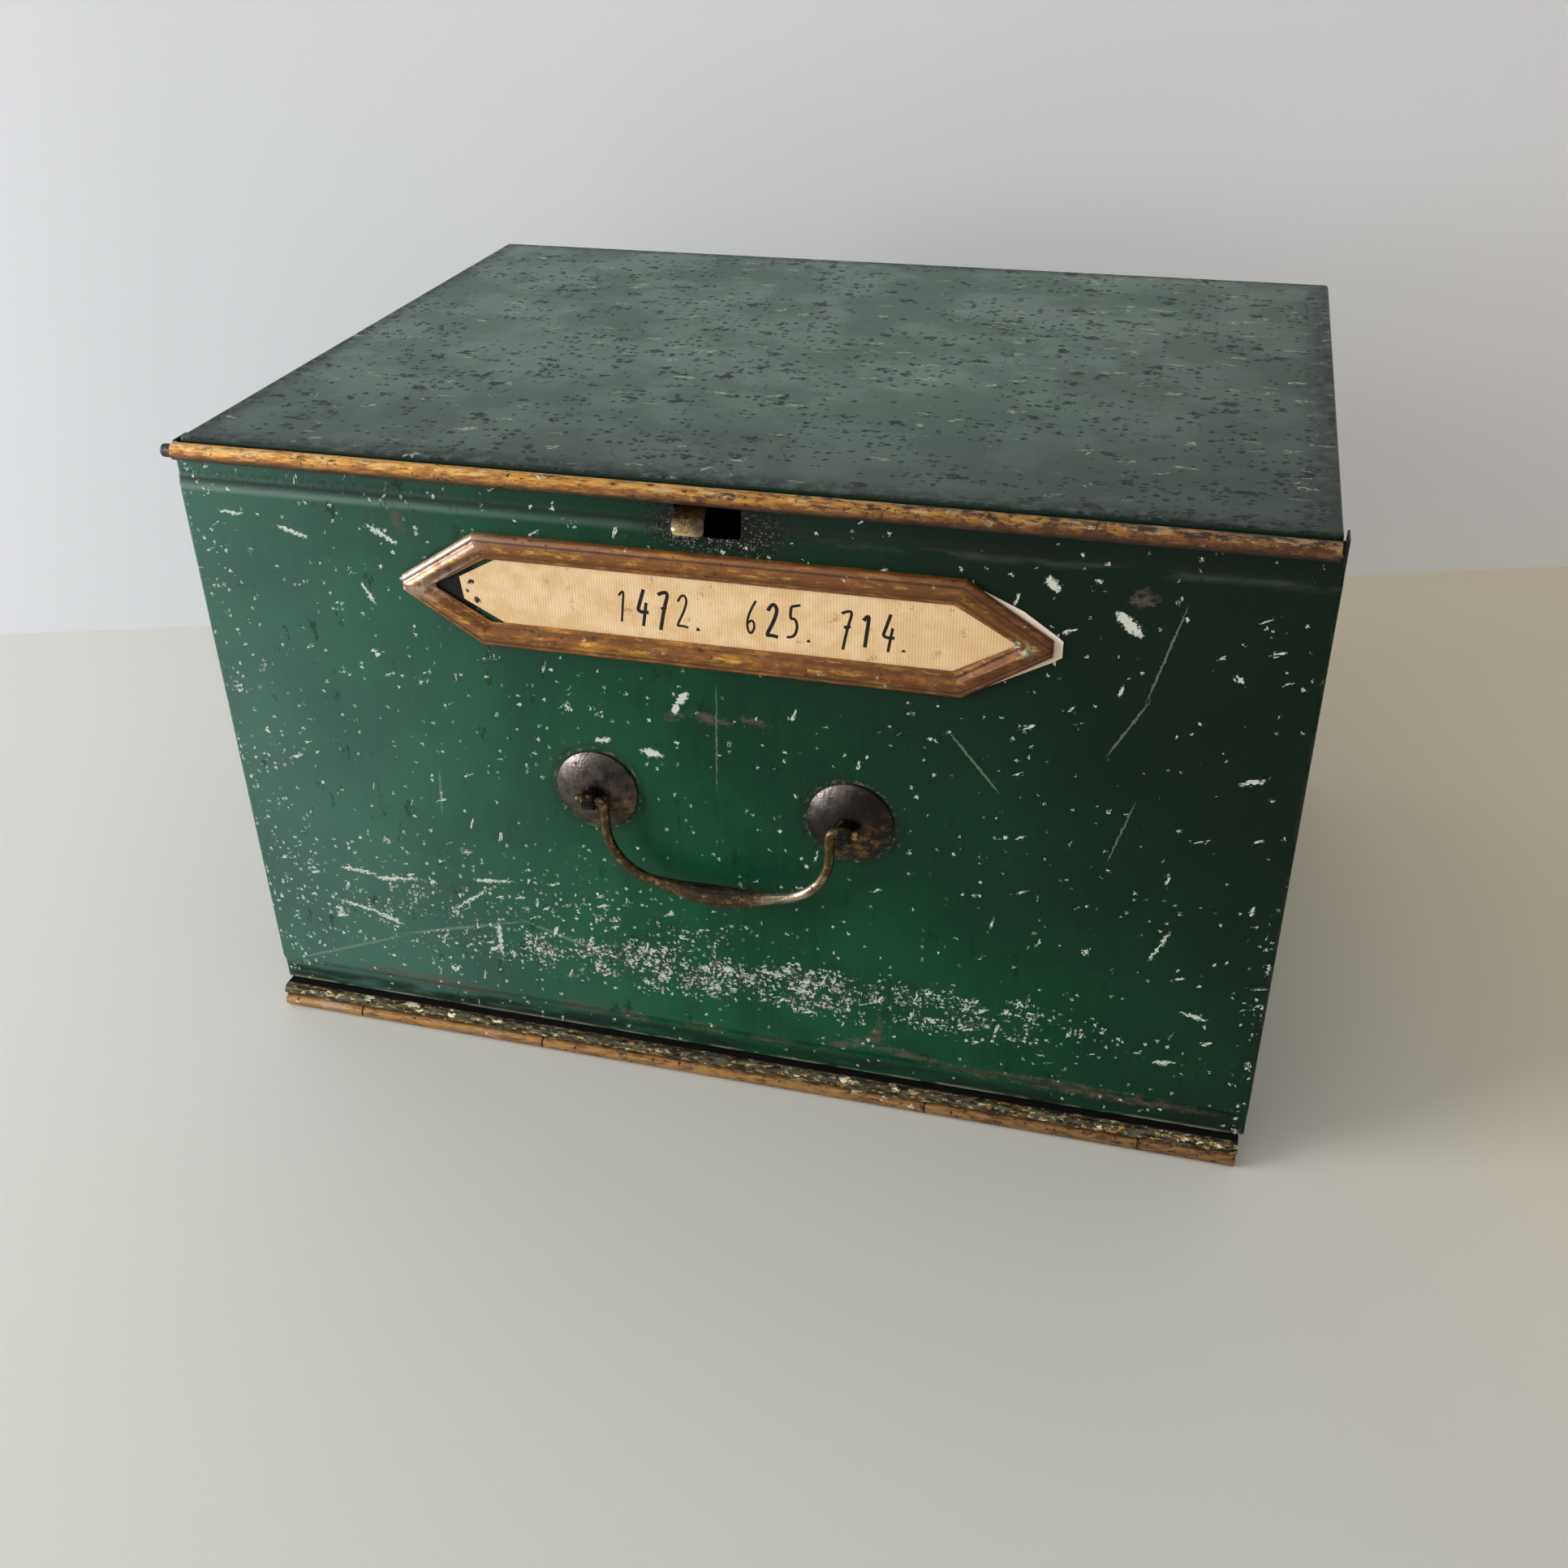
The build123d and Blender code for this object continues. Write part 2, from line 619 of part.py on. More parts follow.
with BuildPart() as catch_spring:
    with BuildSketch(Plane.YZ.offset(tongue_offset - catch_pad_width / 2)):
        with BuildLine():
            FilletPolyline(
                (pad_rear_y, pad_z),
                (pad_front_y, pad_z),
                (field_y, door_pass_z),
                (thumb_y, door_pass_z - thumb_slope),
                (tip_y, door_pass_z - thumb_slope - tip_drop),
                radius=[8, 6, 2.5],
            )
        trace(line_width=catch_sheet)
    extrude(amount=catch_pad_width)
    # plan of the leaf: a broad pad, a taper, and a tongue that widens again at its tip
    with BuildSketch(Plane.XY.offset(case_height)):
        right_edge = (
            (catch_pad_width / 2, pad_rear_y + 1),
            (catch_pad_width / 2, pad_front_y),
            (tongue_width / 2, pad_front_y - catch_taper),
            (tongue_width / 2, field_y),
            (tongue_tip_width / 2, tip_y - catch_sheet),
        )
        with Locations((tongue_offset, 0)):
            Polygon(*right_edge, *[(-x, y) for x, y in reversed(right_edge)], align=None)
    extrude(amount=-3 * top_rim, mode=Mode.INTERSECT)
    # raised bump that sits just behind the rolled edge
    bump_y = (border_back_y + front_y) / 2
    bump_z = hole_top - bump_clearance - bump_radius
    with BuildSketch(Plane.YZ.offset(tongue_offset - tongue_width / 2 + 1)):
        with Locations((bump_y, bump_z)):
            Circle(bump_radius)
    extrude(amount=tongue_width - 2)
    with BuildSketch(Plane.XY.offset(pad_z - catch_sheet)):
        with Locations((tongue_offset, rivet_y)):
            with GridLocations(rivet_spacing, 0, 2, 1):
                Circle(rivet_radius + catch_play)
    extrude(amount=2 * catch_sheet, mode=Mode.SUBTRACT)
finish_piece(catch_spring.part, "catch_spring")
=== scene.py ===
from math import radians

import bmesh
import bpy
from mathutils import Euler, Matrix, Vector


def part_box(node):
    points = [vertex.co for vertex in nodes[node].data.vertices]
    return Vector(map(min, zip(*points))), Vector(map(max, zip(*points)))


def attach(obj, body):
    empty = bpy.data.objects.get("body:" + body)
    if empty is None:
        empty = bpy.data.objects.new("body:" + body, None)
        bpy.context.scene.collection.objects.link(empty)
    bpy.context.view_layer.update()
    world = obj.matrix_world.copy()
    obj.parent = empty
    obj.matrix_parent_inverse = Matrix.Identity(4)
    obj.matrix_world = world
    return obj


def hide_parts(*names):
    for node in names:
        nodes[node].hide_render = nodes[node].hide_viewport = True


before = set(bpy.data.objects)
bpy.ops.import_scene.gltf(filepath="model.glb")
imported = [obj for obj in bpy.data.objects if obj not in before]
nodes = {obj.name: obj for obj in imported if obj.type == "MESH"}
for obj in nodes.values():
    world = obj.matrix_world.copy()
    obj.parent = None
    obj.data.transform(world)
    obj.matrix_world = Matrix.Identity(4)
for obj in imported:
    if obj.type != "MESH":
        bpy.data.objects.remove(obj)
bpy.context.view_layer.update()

MM = 0.001
RIGHT = (1, 0, 0)
BACK = (0, 1, 0)
UP = (0, 0, 1)

# ---------------------------------------------------------------- sizes, in millimetres
# Read from the frame where a CAD piece gives them.


def box_mm(name):
    """The two corners of a CAD piece's box, in millimetres."""
    low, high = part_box(name)
    return [value / MM for value in low], [value / MM for value in high]


door_low, door_high = box_mm("door_panel")
rod_low, rod_high = box_mm("door_edge_wire")
label_low, label_high = box_mm("label_frame")
card_low, card_high = box_mm("label_card")
bail_low, bail_high = box_mm("handle_bail")
rosette_low, rosette_high = box_mm("handle_rosette_right")
top_low, top_high = box_mm("case_top")
strip_low = box_mm("door_hinge_strip")[0]
leaf_low = box_mm("case_hinge_leaf")[0]
side_low = box_mm("case_left_side")[0]
tongue_low = box_mm("catch_spring")[0]

DOOR_HALF = door_high[0]
DOOR_FOOT = door_low[2]
FIELD_Y = rosette_high[1]   # the face of the door, where the rosettes lie on it
ROD_Y = (rod_low[1] + rod_high[1]) / 2
ROD_Z = (rod_low[2] + rod_high[2]) / 2
ROLL_SHEET = 0.75           # the sheet that is rolled round the rod, with its paint
ROLL_RADIUS = (rod_high[2] - rod_low[2]) / 2 + ROLL_SHEET
ROLL_HALF = DOOR_HALF - 2.5
JOGGLE_FOOT = 21.0          # the bends below and above the door's field
JOGGLE_HEAD = 248.4
LABEL_Z = (label_low[2] + label_high[2]) / 2
LABEL_HALF_HEIGHT = (label_high[2] - label_low[2]) / 2
LABEL_SHOULDER = 90.5       # where the pointed ends begin
LABEL_END = (0.537, 0, 0.844)   # square to the edge of a pointed end
LABEL_END_REACH = LABEL_END[0] * LABEL_SHOULDER + LABEL_END[2] * LABEL_HALF_HEIGHT
POST_X = (rosette_low[0] + rosette_high[0]) / 2
POST_Z = (rosette_low[2] + rosette_high[2]) / 2
ROSETTE_RADIUS = (rosette_high[0] - rosette_low[0]) / 2
BAIL_Y = (bail_low[1] + bail_high[1]) / 2
BOW_RADIUS = 110.0          # of the middle line of the handle's lower part
GRIP_RADIUS = 4.2
BOW_CENTRE_Z = bail_low[2] + GRIP_RADIUS + BOW_RADIUS
KNUCKLE_BREAKS = (84.0, 170.0)
BEAD_Y = (strip_low[1] + leaf_low[1]) / 2 + 2.6
BEAD_SPLIT_Z = 5.3          # between the lower bead of knuckles and the bead above them
BOX_MIDDLE = (0, 0, top_high[2] / 2)
TONGUE_MIDDLE = -6.0        # the part of the catch that shows in front of the door
TONGUE_HALF = 5.9
TONGUE_CORNER = 2.6


# ================================================================ materials: shared steps
def linear(hex_colour):
    """An sRGB hex colour as linear RGBA."""
    channels = [int(hex_colour[i : i + 2], 16) / 255 for i in (1, 3, 5)]
    return [c / 12.92 if c <= 0.04045 else ((c + 0.055) / 1.055) ** 2.4 for c in channels] + [1.0]


def node(kind, inputs, out=0, tree=None, **settings):
    """Adds a shader node, sets or links its inputs, and gives back one of its outputs.

    The node goes into the tree that its first link comes from, unless a tree is given.
    """
    if tree is None:
        links = [value for value in inputs.values() if isinstance(value, bpy.types.NodeSocket)]
        tree = links[0].id_data
    made = tree.nodes.new("ShaderNode" + kind)
    for name, value in settings.items():
        setattr(made, name, value)
    for name, value in inputs.items():
        if isinstance(value, bpy.types.NodeSocket):
            tree.links.new(value, made.inputs[name])
        else:
            made.inputs[name].default_value = value
    return made.outputs[out]


def start_material(name, ior=1.5):
    """A new material, and the object's own coordinates in millimetres."""
    material = bpy.data.materials.new(name)
    material.use_nodes = True
    material.node_tree.nodes["Principled BSDF"].inputs["IOR"].default_value = ior
    place = node("TexCoord", {}, out=3, tree=material.node_tree)
    place = node("VectorMath", {0: place, "Scale": 1 / MM}, operation="SCALE")
    return material, place


def facing(place, turn):
    """Coordinates turned so that a flat sheet lies in their first two numbers."""
    return node("Mapping", {"Vector": place, "Rotation": [radians(a) for a in turn]}, vector_type="TEXTURE")


def lay(under, mask, over):
    """Lays a finish over another where the mask is white.

    A finish is a colour, a roughness, metal (0 if left out) and a height in mm (kept if left out).
    """
    over = [*over, *(0.0, None)[len(over) - 2 :]]
    colour = node("Mix", {0: mask, 6: under[0], 7: linear(over[0])}, out=2, data_type="RGBA")
    rest = [a if b is None else node("Mix", {0: mask, 2: a, 3: b}) for a, b in zip(under[1:], over[1:])]
    return [colour, *rest]


def finish_material(material, coat):
    """Puts the finished coat on the surface; its height becomes relief."""
    tree = material.node_tree
    shader = tree.nodes["Principled BSDF"]
    relief = node("Bump", {"Height": coat[3], "Distance": MM, "Strength": 1.0})
    for name, value in zip(("Base Color", "Roughness", "Metallic", "Normal"), (*coat[:3], relief)):
        if isinstance(value, bpy.types.NodeSocket):
            tree.links.new(value, shader.inputs[name])
        else:
            shader.inputs[name].default_value = value
    return material


def ramp(value, start, end, low=0.0, high=1.0):
    """A number that goes smoothly from low at start to high at end."""
    return node("MapRange", {0: value, 1: start, 2: end, 3: low, 4: high}, interpolation_type="SMOOTHSTEP")


def along(place, axis):
    """How far a point lies along an axis, in millimetres."""
    return node("VectorMath", {0: place, 1: axis}, out=1, operation="DOT_PRODUCT")


def near(value, middle, reach):
    """1 where a number is at its middle value, falling to 0 at reach from it."""
    away = node("Math", {0: value, 1: middle}, operation="SUBTRACT")
    away = node("Math", {0: away}, operation="ABSOLUTE")
    return ramp(away, 0, reach, 1, 0)


def both(*masks):
    """The product of several masks or numbers."""
    result = masks[0]
    for mask in masks[1:]:
        result = node("Math", {0: result, 1: mask}, operation="MULTIPLY")
    return result


def either(*masks):
    """The largest of several masks."""
    result = masks[0]
    for mask in masks[1:]:
        result = node("Math", {0: result, 1: mask}, operation="MAXIMUM")
    return result


def mottle(place, grain, stretch, flat, detail, roughness, shift=(0, 0, 0)):
    """Uneven noise with patches of about grain millimetres, in a flat sheet or all through."""
    sizes = [grain * s for s in stretch]
    place = node("Mapping", {"Vector": place, "Location": shift, "Scale": sizes}, vector_type="TEXTURE")
    noise = {"Vector": place, "Scale": 1.0, "Detail": detail, "Roughness": roughness}
    return node("TexNoise", noise, noise_dimensions="2D" if flat else "3D")


def clouds(place, grain, low, high, flat=False, stretch=(1, 1, 1), detail=3):
    """Soft uneven patches, from 0 where the noise is below low to 1 where it is above high."""
    return ramp(mottle(place, grain, stretch, flat, detail, 0.6), low, high)


def worn(place, grain, share, soft=0.06, stretch=(1, 1, 1), seed=0, flat=False):
    """Ragged patches that cover roughly a share of the surface."""
    noise = mottle(place, grain, stretch, flat, 4, 0.66, shift=(31 * seed, 17 * seed, 5))
    # noise hardly ever passes 0.74 or falls below 0.3
    level = node("MapRange", {0: share, 1: 0, 2: 1, 3: 0.74, 4: 0.3}, tree=noise.id_data)
    above = node("Math", {0: noise, 1: level}, operation="SUBTRACT")
    return node("Math", {0: above, 1: 1 / soft}, operation="MULTIPLY", use_clamp=True)


def flakes(place, spacing, radius, share, stretch=(1, 1, 1), turn=0, ragged=1.2, seed=0, flat=False):
    """Scattered ragged chips: cells every spacing, of which a share holds a chip up to radius.

    The smallest chip is 0.3 of the largest, and an edge is a twelfth of a cell soft.
    """
    cells = node(
        "Mapping",
        {
            "Vector": place,
            "Location": (41.3 * seed, 13.7 * seed, 2.9),
            "Rotation": (0, 0, radians(turn)),
            "Scale": [spacing * s for s in stretch],
        },
        vector_type="TEXTURE",
    )
    sheet_or_all = "2D" if flat else "3D"
    noise = {"Vector": cells, "Scale": 2.4, "Detail": 2, "Roughness": 0.7}
    edge = node("TexNoise", noise, out=1, noise_dimensions=sheet_or_all)
    cells = node("VectorMath", {0: edge, 1: (ragged,) * 3, 2: cells}, operation="MULTIPLY_ADD")
    distance = node("TexVoronoi", {"Vector": cells, "Scale": 1.0}, voronoi_dimensions=sheet_or_all)
    chance = node("SeparateColor", {0: distance.node.outputs["Color"]})
    reach = radius / spacing
    largest = node("MapRange", {0: chance.node.outputs[1], 1: 0, 2: 1, 3: 0.3 * reach, 4: reach})
    inside = node("Math", {0: largest, 1: distance}, operation="SUBTRACT")
    inside = node("Math", {0: inside, 1: 12}, operation="MULTIPLY", use_clamp=True)
    present = node("Math", {0: chance, 1: share}, operation="LESS_THAN")
    return both(inside, present)


def marks(sheet, rows, ragged=4.5):
    """Single marks on the door's front: each row is (x, z), (half length, half width), tilt in degrees."""
    noise = {"Vector": sheet, "Scale": 0.6, "Detail": 3, "Roughness": 0.75}
    wobble = node("TexNoise", noise, out=1, noise_dimensions="2D")
    wobble = node("VectorMath", {0: wobble, 1: (0.5, 0.5, 0.5)}, operation="SUBTRACT")
    shaken = node("VectorMath", {0: wobble, 1: (ragged, ragged, 0), 2: sheet}, operation="MULTIPLY_ADD")
    nearest = 9.0
    for (x, z), (half_length, half_width), tilt in rows:
        spot = node(
            "Mapping",
            {
                "Vector": shaken,
                "Location": (x, z, -FIELD_Y),
                "Rotation": (0, 0, radians(tilt)),
                "Scale": (half_length, half_width, 90),
            },
            vector_type="TEXTURE",
        )
        away = node("VectorMath", {0: spot}, out=1, operation="LENGTH")
        nearest = node("Math", {0: away, 1: nearest}, operation="MINIMUM")
    return node("MapRange", {0: nearest, 1: 1.15, 2: 0.9, 3: 0, 4: 1})


# ================================================================ materials: enamel and gold paint
GREEN = "#114f32"
GREEN_DARK = "#0d3e28"
# colour of the painted sheen, a reflection over the left of the door
PAINTED_SHEEN = "#5b7674"
TIN = "#ccd1c6"
OLD_METAL = "#5a4d43"
ENAMEL_IOR = 1.25           # fresh enamel has about 1.5; this one has dulled


def green_coat(sheet, colour=GREEN, dark=GREEN_DARK, roughness=0.34, flat=False, brushed=0.3):
    """Stoved bottle-green enamel: slightly uneven in depth, with faint upright brush streaks."""
    depth = clouds(sheet, 45, 0.35, 0.65, flat)
    streaks = clouds(sheet, 1.6, 0.3, 0.7, flat, stretch=(1, 30, 1))
    depth = node("Math", {0: streaks, 1: brushed, 2: both(depth, 1 - brushed)}, operation="MULTIPLY_ADD")
    base = node("Mix", {0: depth, 6: linear(dark), 7: linear(colour)}, out=2, data_type="RGBA")
    rough = ramp(depth, 0, 1, roughness + 0.06, roughness - 0.04)
    skin = clouds(sheet, 3, 0.2, 0.8, flat, detail=1)
    dents = clouds(sheet, 80, 0.2, 0.8, flat, detail=0)
    height = node("Math", {0: dents, 1: 1.6, 2: both(skin, 0.02)}, operation="MULTIPLY_ADD")
    return [base, rough, 0.0, height]


def gold_coat(place, wear, flaked, ground="#43260f", shine="#d39a3e", shade="#84511c"):
    """Bronze-powder paint on a bead: warm gold along its crest, rubbed to brown and flaked to cream."""
    tone = clouds(place, 1.4, 0.3, 0.62, stretch=(5, 1, 1), detail=4)
    gold = node("Mix", {0: tone, 6: linear(shade), 7: linear(shine)}, out=2, data_type="RGBA")
    coat = [gold, 0.34, 0.35, both(tone, 0.16)]
    rubbed = worn(place, 4, both(wear, 0.85), soft=0.09, stretch=(2.4, 1, 1), seed=3)
    coat = lay(coat, rubbed, (ground, 0.5, 0.2))
    coat = lay(coat, worn(place, 2.4, both(wear, 0.8), stretch=(1.8, 1, 1), seed=5), ("#1b100a", 0.55, 0.1))
    coat = lay(coat, flakes(place, 3.0, 0.9, 0.42, seed=4), ("#120b07", 0.6, 0.1, -0.05))
    pale = flakes(place, 3.4, 1.5, flaked, stretch=(1.8, 1, 1), seed=2)
    return lay(coat, pale, ("#bfc3a4", 0.6, 0.0, 0.05))


def pale_chips(sheet, share, flat=False, seed=0):
    """Small chips down to the tin: crumbs of about 1 mm, larger flakes, and short scratches."""
    crumbs = flakes(sheet, 2.1, 0.78, share, ragged=1.5, seed=seed + 1, flat=flat)
    larger = flakes(sheet, 4.6, 1.8, both(share, share), ragged=2.2, seed=seed + 2, flat=flat)
    scratches = [
        flakes(sheet, 2.6, 0.8, both(share, part), (length, 1, 1), tilt, 1.1, seed + extra, flat)
        for part, length, tilt, extra in ((0.34, 3.4, 24, 3), (0.28, 3.6, 74, 4))
    ]
    return either(crumbs, larger, *scratches)


# Single marks on the door, by the place of their middle.
DEEP_CHIPS = (
    ((145.2, 226.4), (5.6, 2.0), -43),
    ((119.0, 238.3), (3.2, 1.5), -48),
    ((-14.0, 178.2), (3.4, 1.5), 52),
    ((-16.6, 173.8), (2.6, 1.2), 72),
    ((-27.3, 153.1), (4.4, 1.5), -8),
    ((-46.8, 156.2), (3.4, 1.1), 14),
)
SCRATCHES = (
    ((182.9, 210.3), (2.2, 0.86), -45),
    ((-163.0, 76.5), (8.0, 0.58), -4),
    ((-146.0, 75.2), (9.0, 0.72), 6),
    ((-166.0, 57.5), (9.0, 0.65), -10),
    ((-152.0, 53.5), (6.0, 0.72), -20),
    ((-112.5, 70.0), (10.0, 0.5), 37),
    ((-100.5, 81.5), (9.0, 0.58), 6),
    ((-101.0, 52.0), (0.9, 8.0), 0),
    ((192.0, 171.5), (4.0, 0.72), 18),
    ((184.0, 66.5), (5.0, 0.72), -12),
    ((176.0, 42.0), (4.0, 0.86), 10),
    ((168.6, 97.0), (7.5, 0.5), 66),
    ((-165.0, 230.5), (6.0, 0.79), -16),
    ((-128.0, 233.0), (7.0, 0.72), -30),
    ((-190.0, 236.0), (4.5, 0.65), -4),
    ((-137.0, 208.0), (4.6, 0.65), -64),
)
FAINT_LINES = (
    ((158.3, 216.0), (18.5, 0.4), 75),
    ((148.5, 187.0), (13.0, 0.4), 62),
    ((150.0, 144.5), (13.0, 0.35), 74),
    ((-174.0, 34.0), (30.0, 0.6), 22),
    ((-118.0, 54.5), (30.0, 0.6), 16),
    ((-69.0, 57.0), (22.0, 0.7), -17),
    ((-1.0, 163.0), (22.0, 0.3), 88),
    ((-119.0, 122.0), (10.0, 0.5), 86),
    ((96.0, 166.0), (14.0, 0.5), -50),
)
BROWN_MARKS = (
    ((149.0, 236.3), (4.4, 3.0), 10),
    ((-3.2, 171.2), (8.0, 1.8), -8),
    ((13.5, 172.0), (5.5, 1.2), -10),
    ((-17.0, 170.5), (4.0, 1.7), 20),
    ((-120.5, 240.0), (2.6, 6.0), 8),
    ((-134.0, 22.0), (36.0, 3.2), -2),
    ((-66.0, 21.5), (12.0, 2.8), 0),
    ((-43.0, 21.0), (7.5, 2.6), 0),
    ((-12.0, 21.2), (10.5, 2.5), 0),
    ((18.0, 20.6), (9.0, 2.0), 0),
    ((52.0, 26.0), (15.0, 2.2), 24),
    ((82.0, 23.0), (26.0, 2.2), -10),
    ((62.0, 33.0), (1.8, 9.0), -10),
    ((146.0, 20.5), (50.0, 3.0), -1),
)
# painted shade and grime in the recess at the left point of the label's window
WINDOW_CORNER_SHADE = (((-101.0, LABEL_Z), (12.0, 14.0), 0),)


def door_enamel():
    """Bottle-green stoving enamel on pressed tinplate: semi-gloss, chipped to pale tin."""
    material, place = start_material("bottle_green_stoving_enamel", ENAMEL_IOR)
    sheet = facing(place, (90, 0, 0))
    coat = green_coat(sheet, flat=True)
    across = along(place, RIGHT)
    up = along(place, UP)

    # painted shade: the door darkens towards the right and the top
    shaded = ramp(along(place, (1, 0, 1)), 0, 365, 0, 0.95)
    coat = lay(coat, shaded, ("#04140b", 0.5))
    # painted sheen: a pale reflection over the left of the door, nearest the window
    painted_sheen_left = ramp(along(place, (1, 0, 0.2)), -190, 10, 0.42, 0)
    coat = lay(coat, painted_sheen_left, (PAINTED_SHEEN, 0.42))

    # the bends above and below the field are rubbed grey; the upper bend has a painted highlight under it
    # and painted shade in its crease, and the strip below the lower bend is darker
    joggles = either(near(up, JOGGLE_HEAD - 2.4, 3.0), both(near(up, JOGGLE_FOOT - 2, 2.6), 0.25))
    rubbed = both(joggles, worn(sheet, 7, 0.78, soft=0.3, stretch=(4, 1, 1), seed=1, flat=True), 0.8)
    coat = lay(coat, rubbed, ("#3b403d", 0.5, 0.1))
    # painted highlight: a pale line just under the upper bend, strongest at the left
    painted_highlight_line = both(near(up, JOGGLE_HEAD - 3.4, 2.2), ramp(across, -200, 40, 0.45, 0))
    coat = lay(coat, painted_highlight_line, ("#7f958c", 0.45))
    # painted shade: a dark line in the crease of the upper bend
    coat = lay(coat, both(near(up, JOGGLE_HEAD - 0.4, 1.5), 0.85), ("#0d1612", 0.5))
    below_bend = ramp(up, JOGGLE_FOOT - 1, JOGGLE_FOOT - 5)
    below_bend = both(below_bend, clouds(sheet, 5, 0.2, 0.6, flat=True, stretch=(5, 1, 1)))
    coat = lay(coat, both(below_bend, 0.92), ("#18241d", 0.5))
    broken_up = worn(sheet, 2.6, 0.84, soft=0.25, stretch=(2, 1, 1), seed=11, flat=True)
    coat = lay(coat, both(marks(sheet, BROWN_MARKS, 7), broken_up, 0.85), (OLD_METAL, 0.55, 0.15))
    coat = lay(coat, both(marks(sheet, FAINT_LINES, 1.5), 0.55), ("#71806f", 0.5))

    # soot round the catch, at the right-hand foot and along the upper bend
    soot = either(
        both(near(up, 249, 15), near(across, 3, 38), 4.5),
        both(near(across, 212, 60), near(up, 8, 40), 0.7),
        both(near(up, JOGGLE_HEAD + 1.5, 4), 0.6),
    )
    sooty = both(soot, worn(sheet, 1.8, 0.86, soft=0.3, seed=4, flat=True))
    coat = lay(coat, sooty, ("#11120e", 0.6))
    specks = flakes(sheet, 7, 1.9, 0.2, stretch=(0.8, 1.8, 1), ragged=1.4, seed=9, flat=True)
    coat = lay(coat, both(specks, 0.55), ("#0a1710", 0.5))

    # pale chips: few on the field, crowded in a band above the foot and beside the edges
    crowd = clouds(sheet, 13, 0.36, 0.62, flat=True)
    band = both(near(along(place, (0.012, 0, 1)), 50, 19), near(across, 0, 210), 1.7)
    above_band = both(near(along(place, (0.1, 0, 1)), 66, 42), near(across, -60, 170), 0.34)
    low_left = both(near(up, 60, 56), near(across, -140, 120), 0.42)
    left_edge = both(near(across, -208, 44), 0.3)
    right_edge = both(near(across, 208, 14), near(up, 50, 130), 0.34)
    field = ramp(across, -200, 120, 0.1, 0.05)
    density = either(band, above_band, low_left, left_edge, right_edge, field)
    share = both(density, ramp(crowd, 0, 1, 0.25, 1))
    bruised = worn(sheet, 3.2, both(share, 0.62), soft=0.1, seed=33, flat=True)
    coat = lay(coat, both(bruised, 0.75), ("#2f3a33", 0.5))
    chips = either(pale_chips(sheet, share, flat=True), marks(sheet, DEEP_CHIPS))
    coat = lay(coat, both(marks(sheet, SCRATCHES), 0.85), (TIN, 0.5, 0.1))
    coat = lay(coat, both(chips, 0.9), (TIN, 0.5, 0.1, -0.08))
    catch_dust = both(
        near(up, 245, 12),
        near(across, 2, 30),
        flakes(sheet, 1.1, 0.42, 0.6, seed=12, flat=True),
        1.8,
    )
    coat = lay(coat, both(catch_dust, 0.8), ("#88857b", 0.5, 0.2))

    # ring of soot and broken paint round each rosette
    mirrored = node("VectorMath", {0: place}, operation="ABSOLUTE")
    post = (POST_X, -FIELD_Y, POST_Z)
    from_post = node("VectorMath", {0: mirrored, 1: post}, out=1, operation="DISTANCE")
    off_rim = node("Math", {0: from_post, 1: ROSETTE_RADIUS + 0.3}, operation="SUBTRACT")
    uneven = worn(sheet, 2.2, 0.55, soft=0.15, seed=7, flat=True)
    coat = lay(coat, both(ramp(off_rim, 0, 5, 0.85, 0), ramp(uneven, 0, 1, 0.5, 1)), ("#15140f", 0.6))
    broken = both(near(off_rim, 0.9, 1.2), uneven, 0.5)
    coat = lay(coat, broken, ("#8d8676", 0.55, 0.1))

    # painted shade and grime in the recess at the left point of the label's window
    coat = lay(coat, both(marks(sheet, WINDOW_CORNER_SHADE, 0.5), 0.95), ("#10110d", 0.6))

    # bottom edge and upright bends worn through
    rubbed_foot = worn(sheet, 5, 0.8, soft=0.2, stretch=(4, 1, 1), flat=True)
    foot_edge = both(ramp(up, DOOR_FOOT + 1.6, DOOR_FOOT), rubbed_foot, 0.85)
    coat = lay(coat, foot_edge, ("#8b8673", 0.5, 0.2))
    out = node("Math", {0: across}, operation="ABSOLUTE")
    rubbed_bend = worn(sheet, 5, 0.62, stretch=(1, 3, 1), seed=8, flat=True)
    bends = both(ramp(out, DOOR_HALF - 1.8, DOOR_HALF), rubbed_bend, 0.85)
    coat = lay(coat, bends, ("#3d3c35", 0.5, 0.2))
    return finish_material(material, coat)


def bead_gold():
    """Bronze-powder paint on the rolled top edge, bright at the left and mottled at the right."""
    material, place = start_material("bronze_powder_paint")
    across = along(place, RIGHT)
    wear = ramp(across, -DOOR_HALF, DOOR_HALF, 0.3, 0.7)
    coat = gold_coat(place, wear, ramp(across, -60, DOOR_HALF, 0.05, 0.24))
    up = along(place, (0, 0.35, 1))
    rod_level = 0.35 * ROD_Y + ROD_Z
    # painted shade on the underside of the roll: red-brown over its lower half, dark brown at its foot
    shade = ramp(up, rod_level - 0.6, rod_level - 2.8, 0, 0.85)
    under = ramp(up, rod_level + 1.6, rod_level - 0.8, 0, 0.7)
    tanned = both(under, clouds(place, 1.6, 0.3, 0.6, stretch=(4, 1, 1)))
    coat = lay(coat, tanned, ("#7a3c14", 0.42, 0.3))
    # painted shade: the roll darkens towards the right
    coat = lay(coat, ramp(across, -110, DOOR_HALF, 0, 0.62), ("#3a1d0e", 0.45, 0.2))
    coat = lay(coat, shade, ("#23150c", 0.55, 0.1))
    # painted highlight: a pale cream line along the crest of the roll, strongest at the left
    crest_level = 0.8 * ROD_Z - 0.6 * ROD_Y + ROLL_RADIUS
    crest = near(along(place, (0, -0.6, 0.8)), crest_level, 0.6)
    crest = both(crest, worn(place, 2.2, 0.5, stretch=(3, 1, 1), seed=6))
    coat = lay(coat, both(crest, ramp(across, -200, 60, 0.8, 0.3)), ("#d9c08c", 0.35, 0.3))
    return finish_material(material, coat)


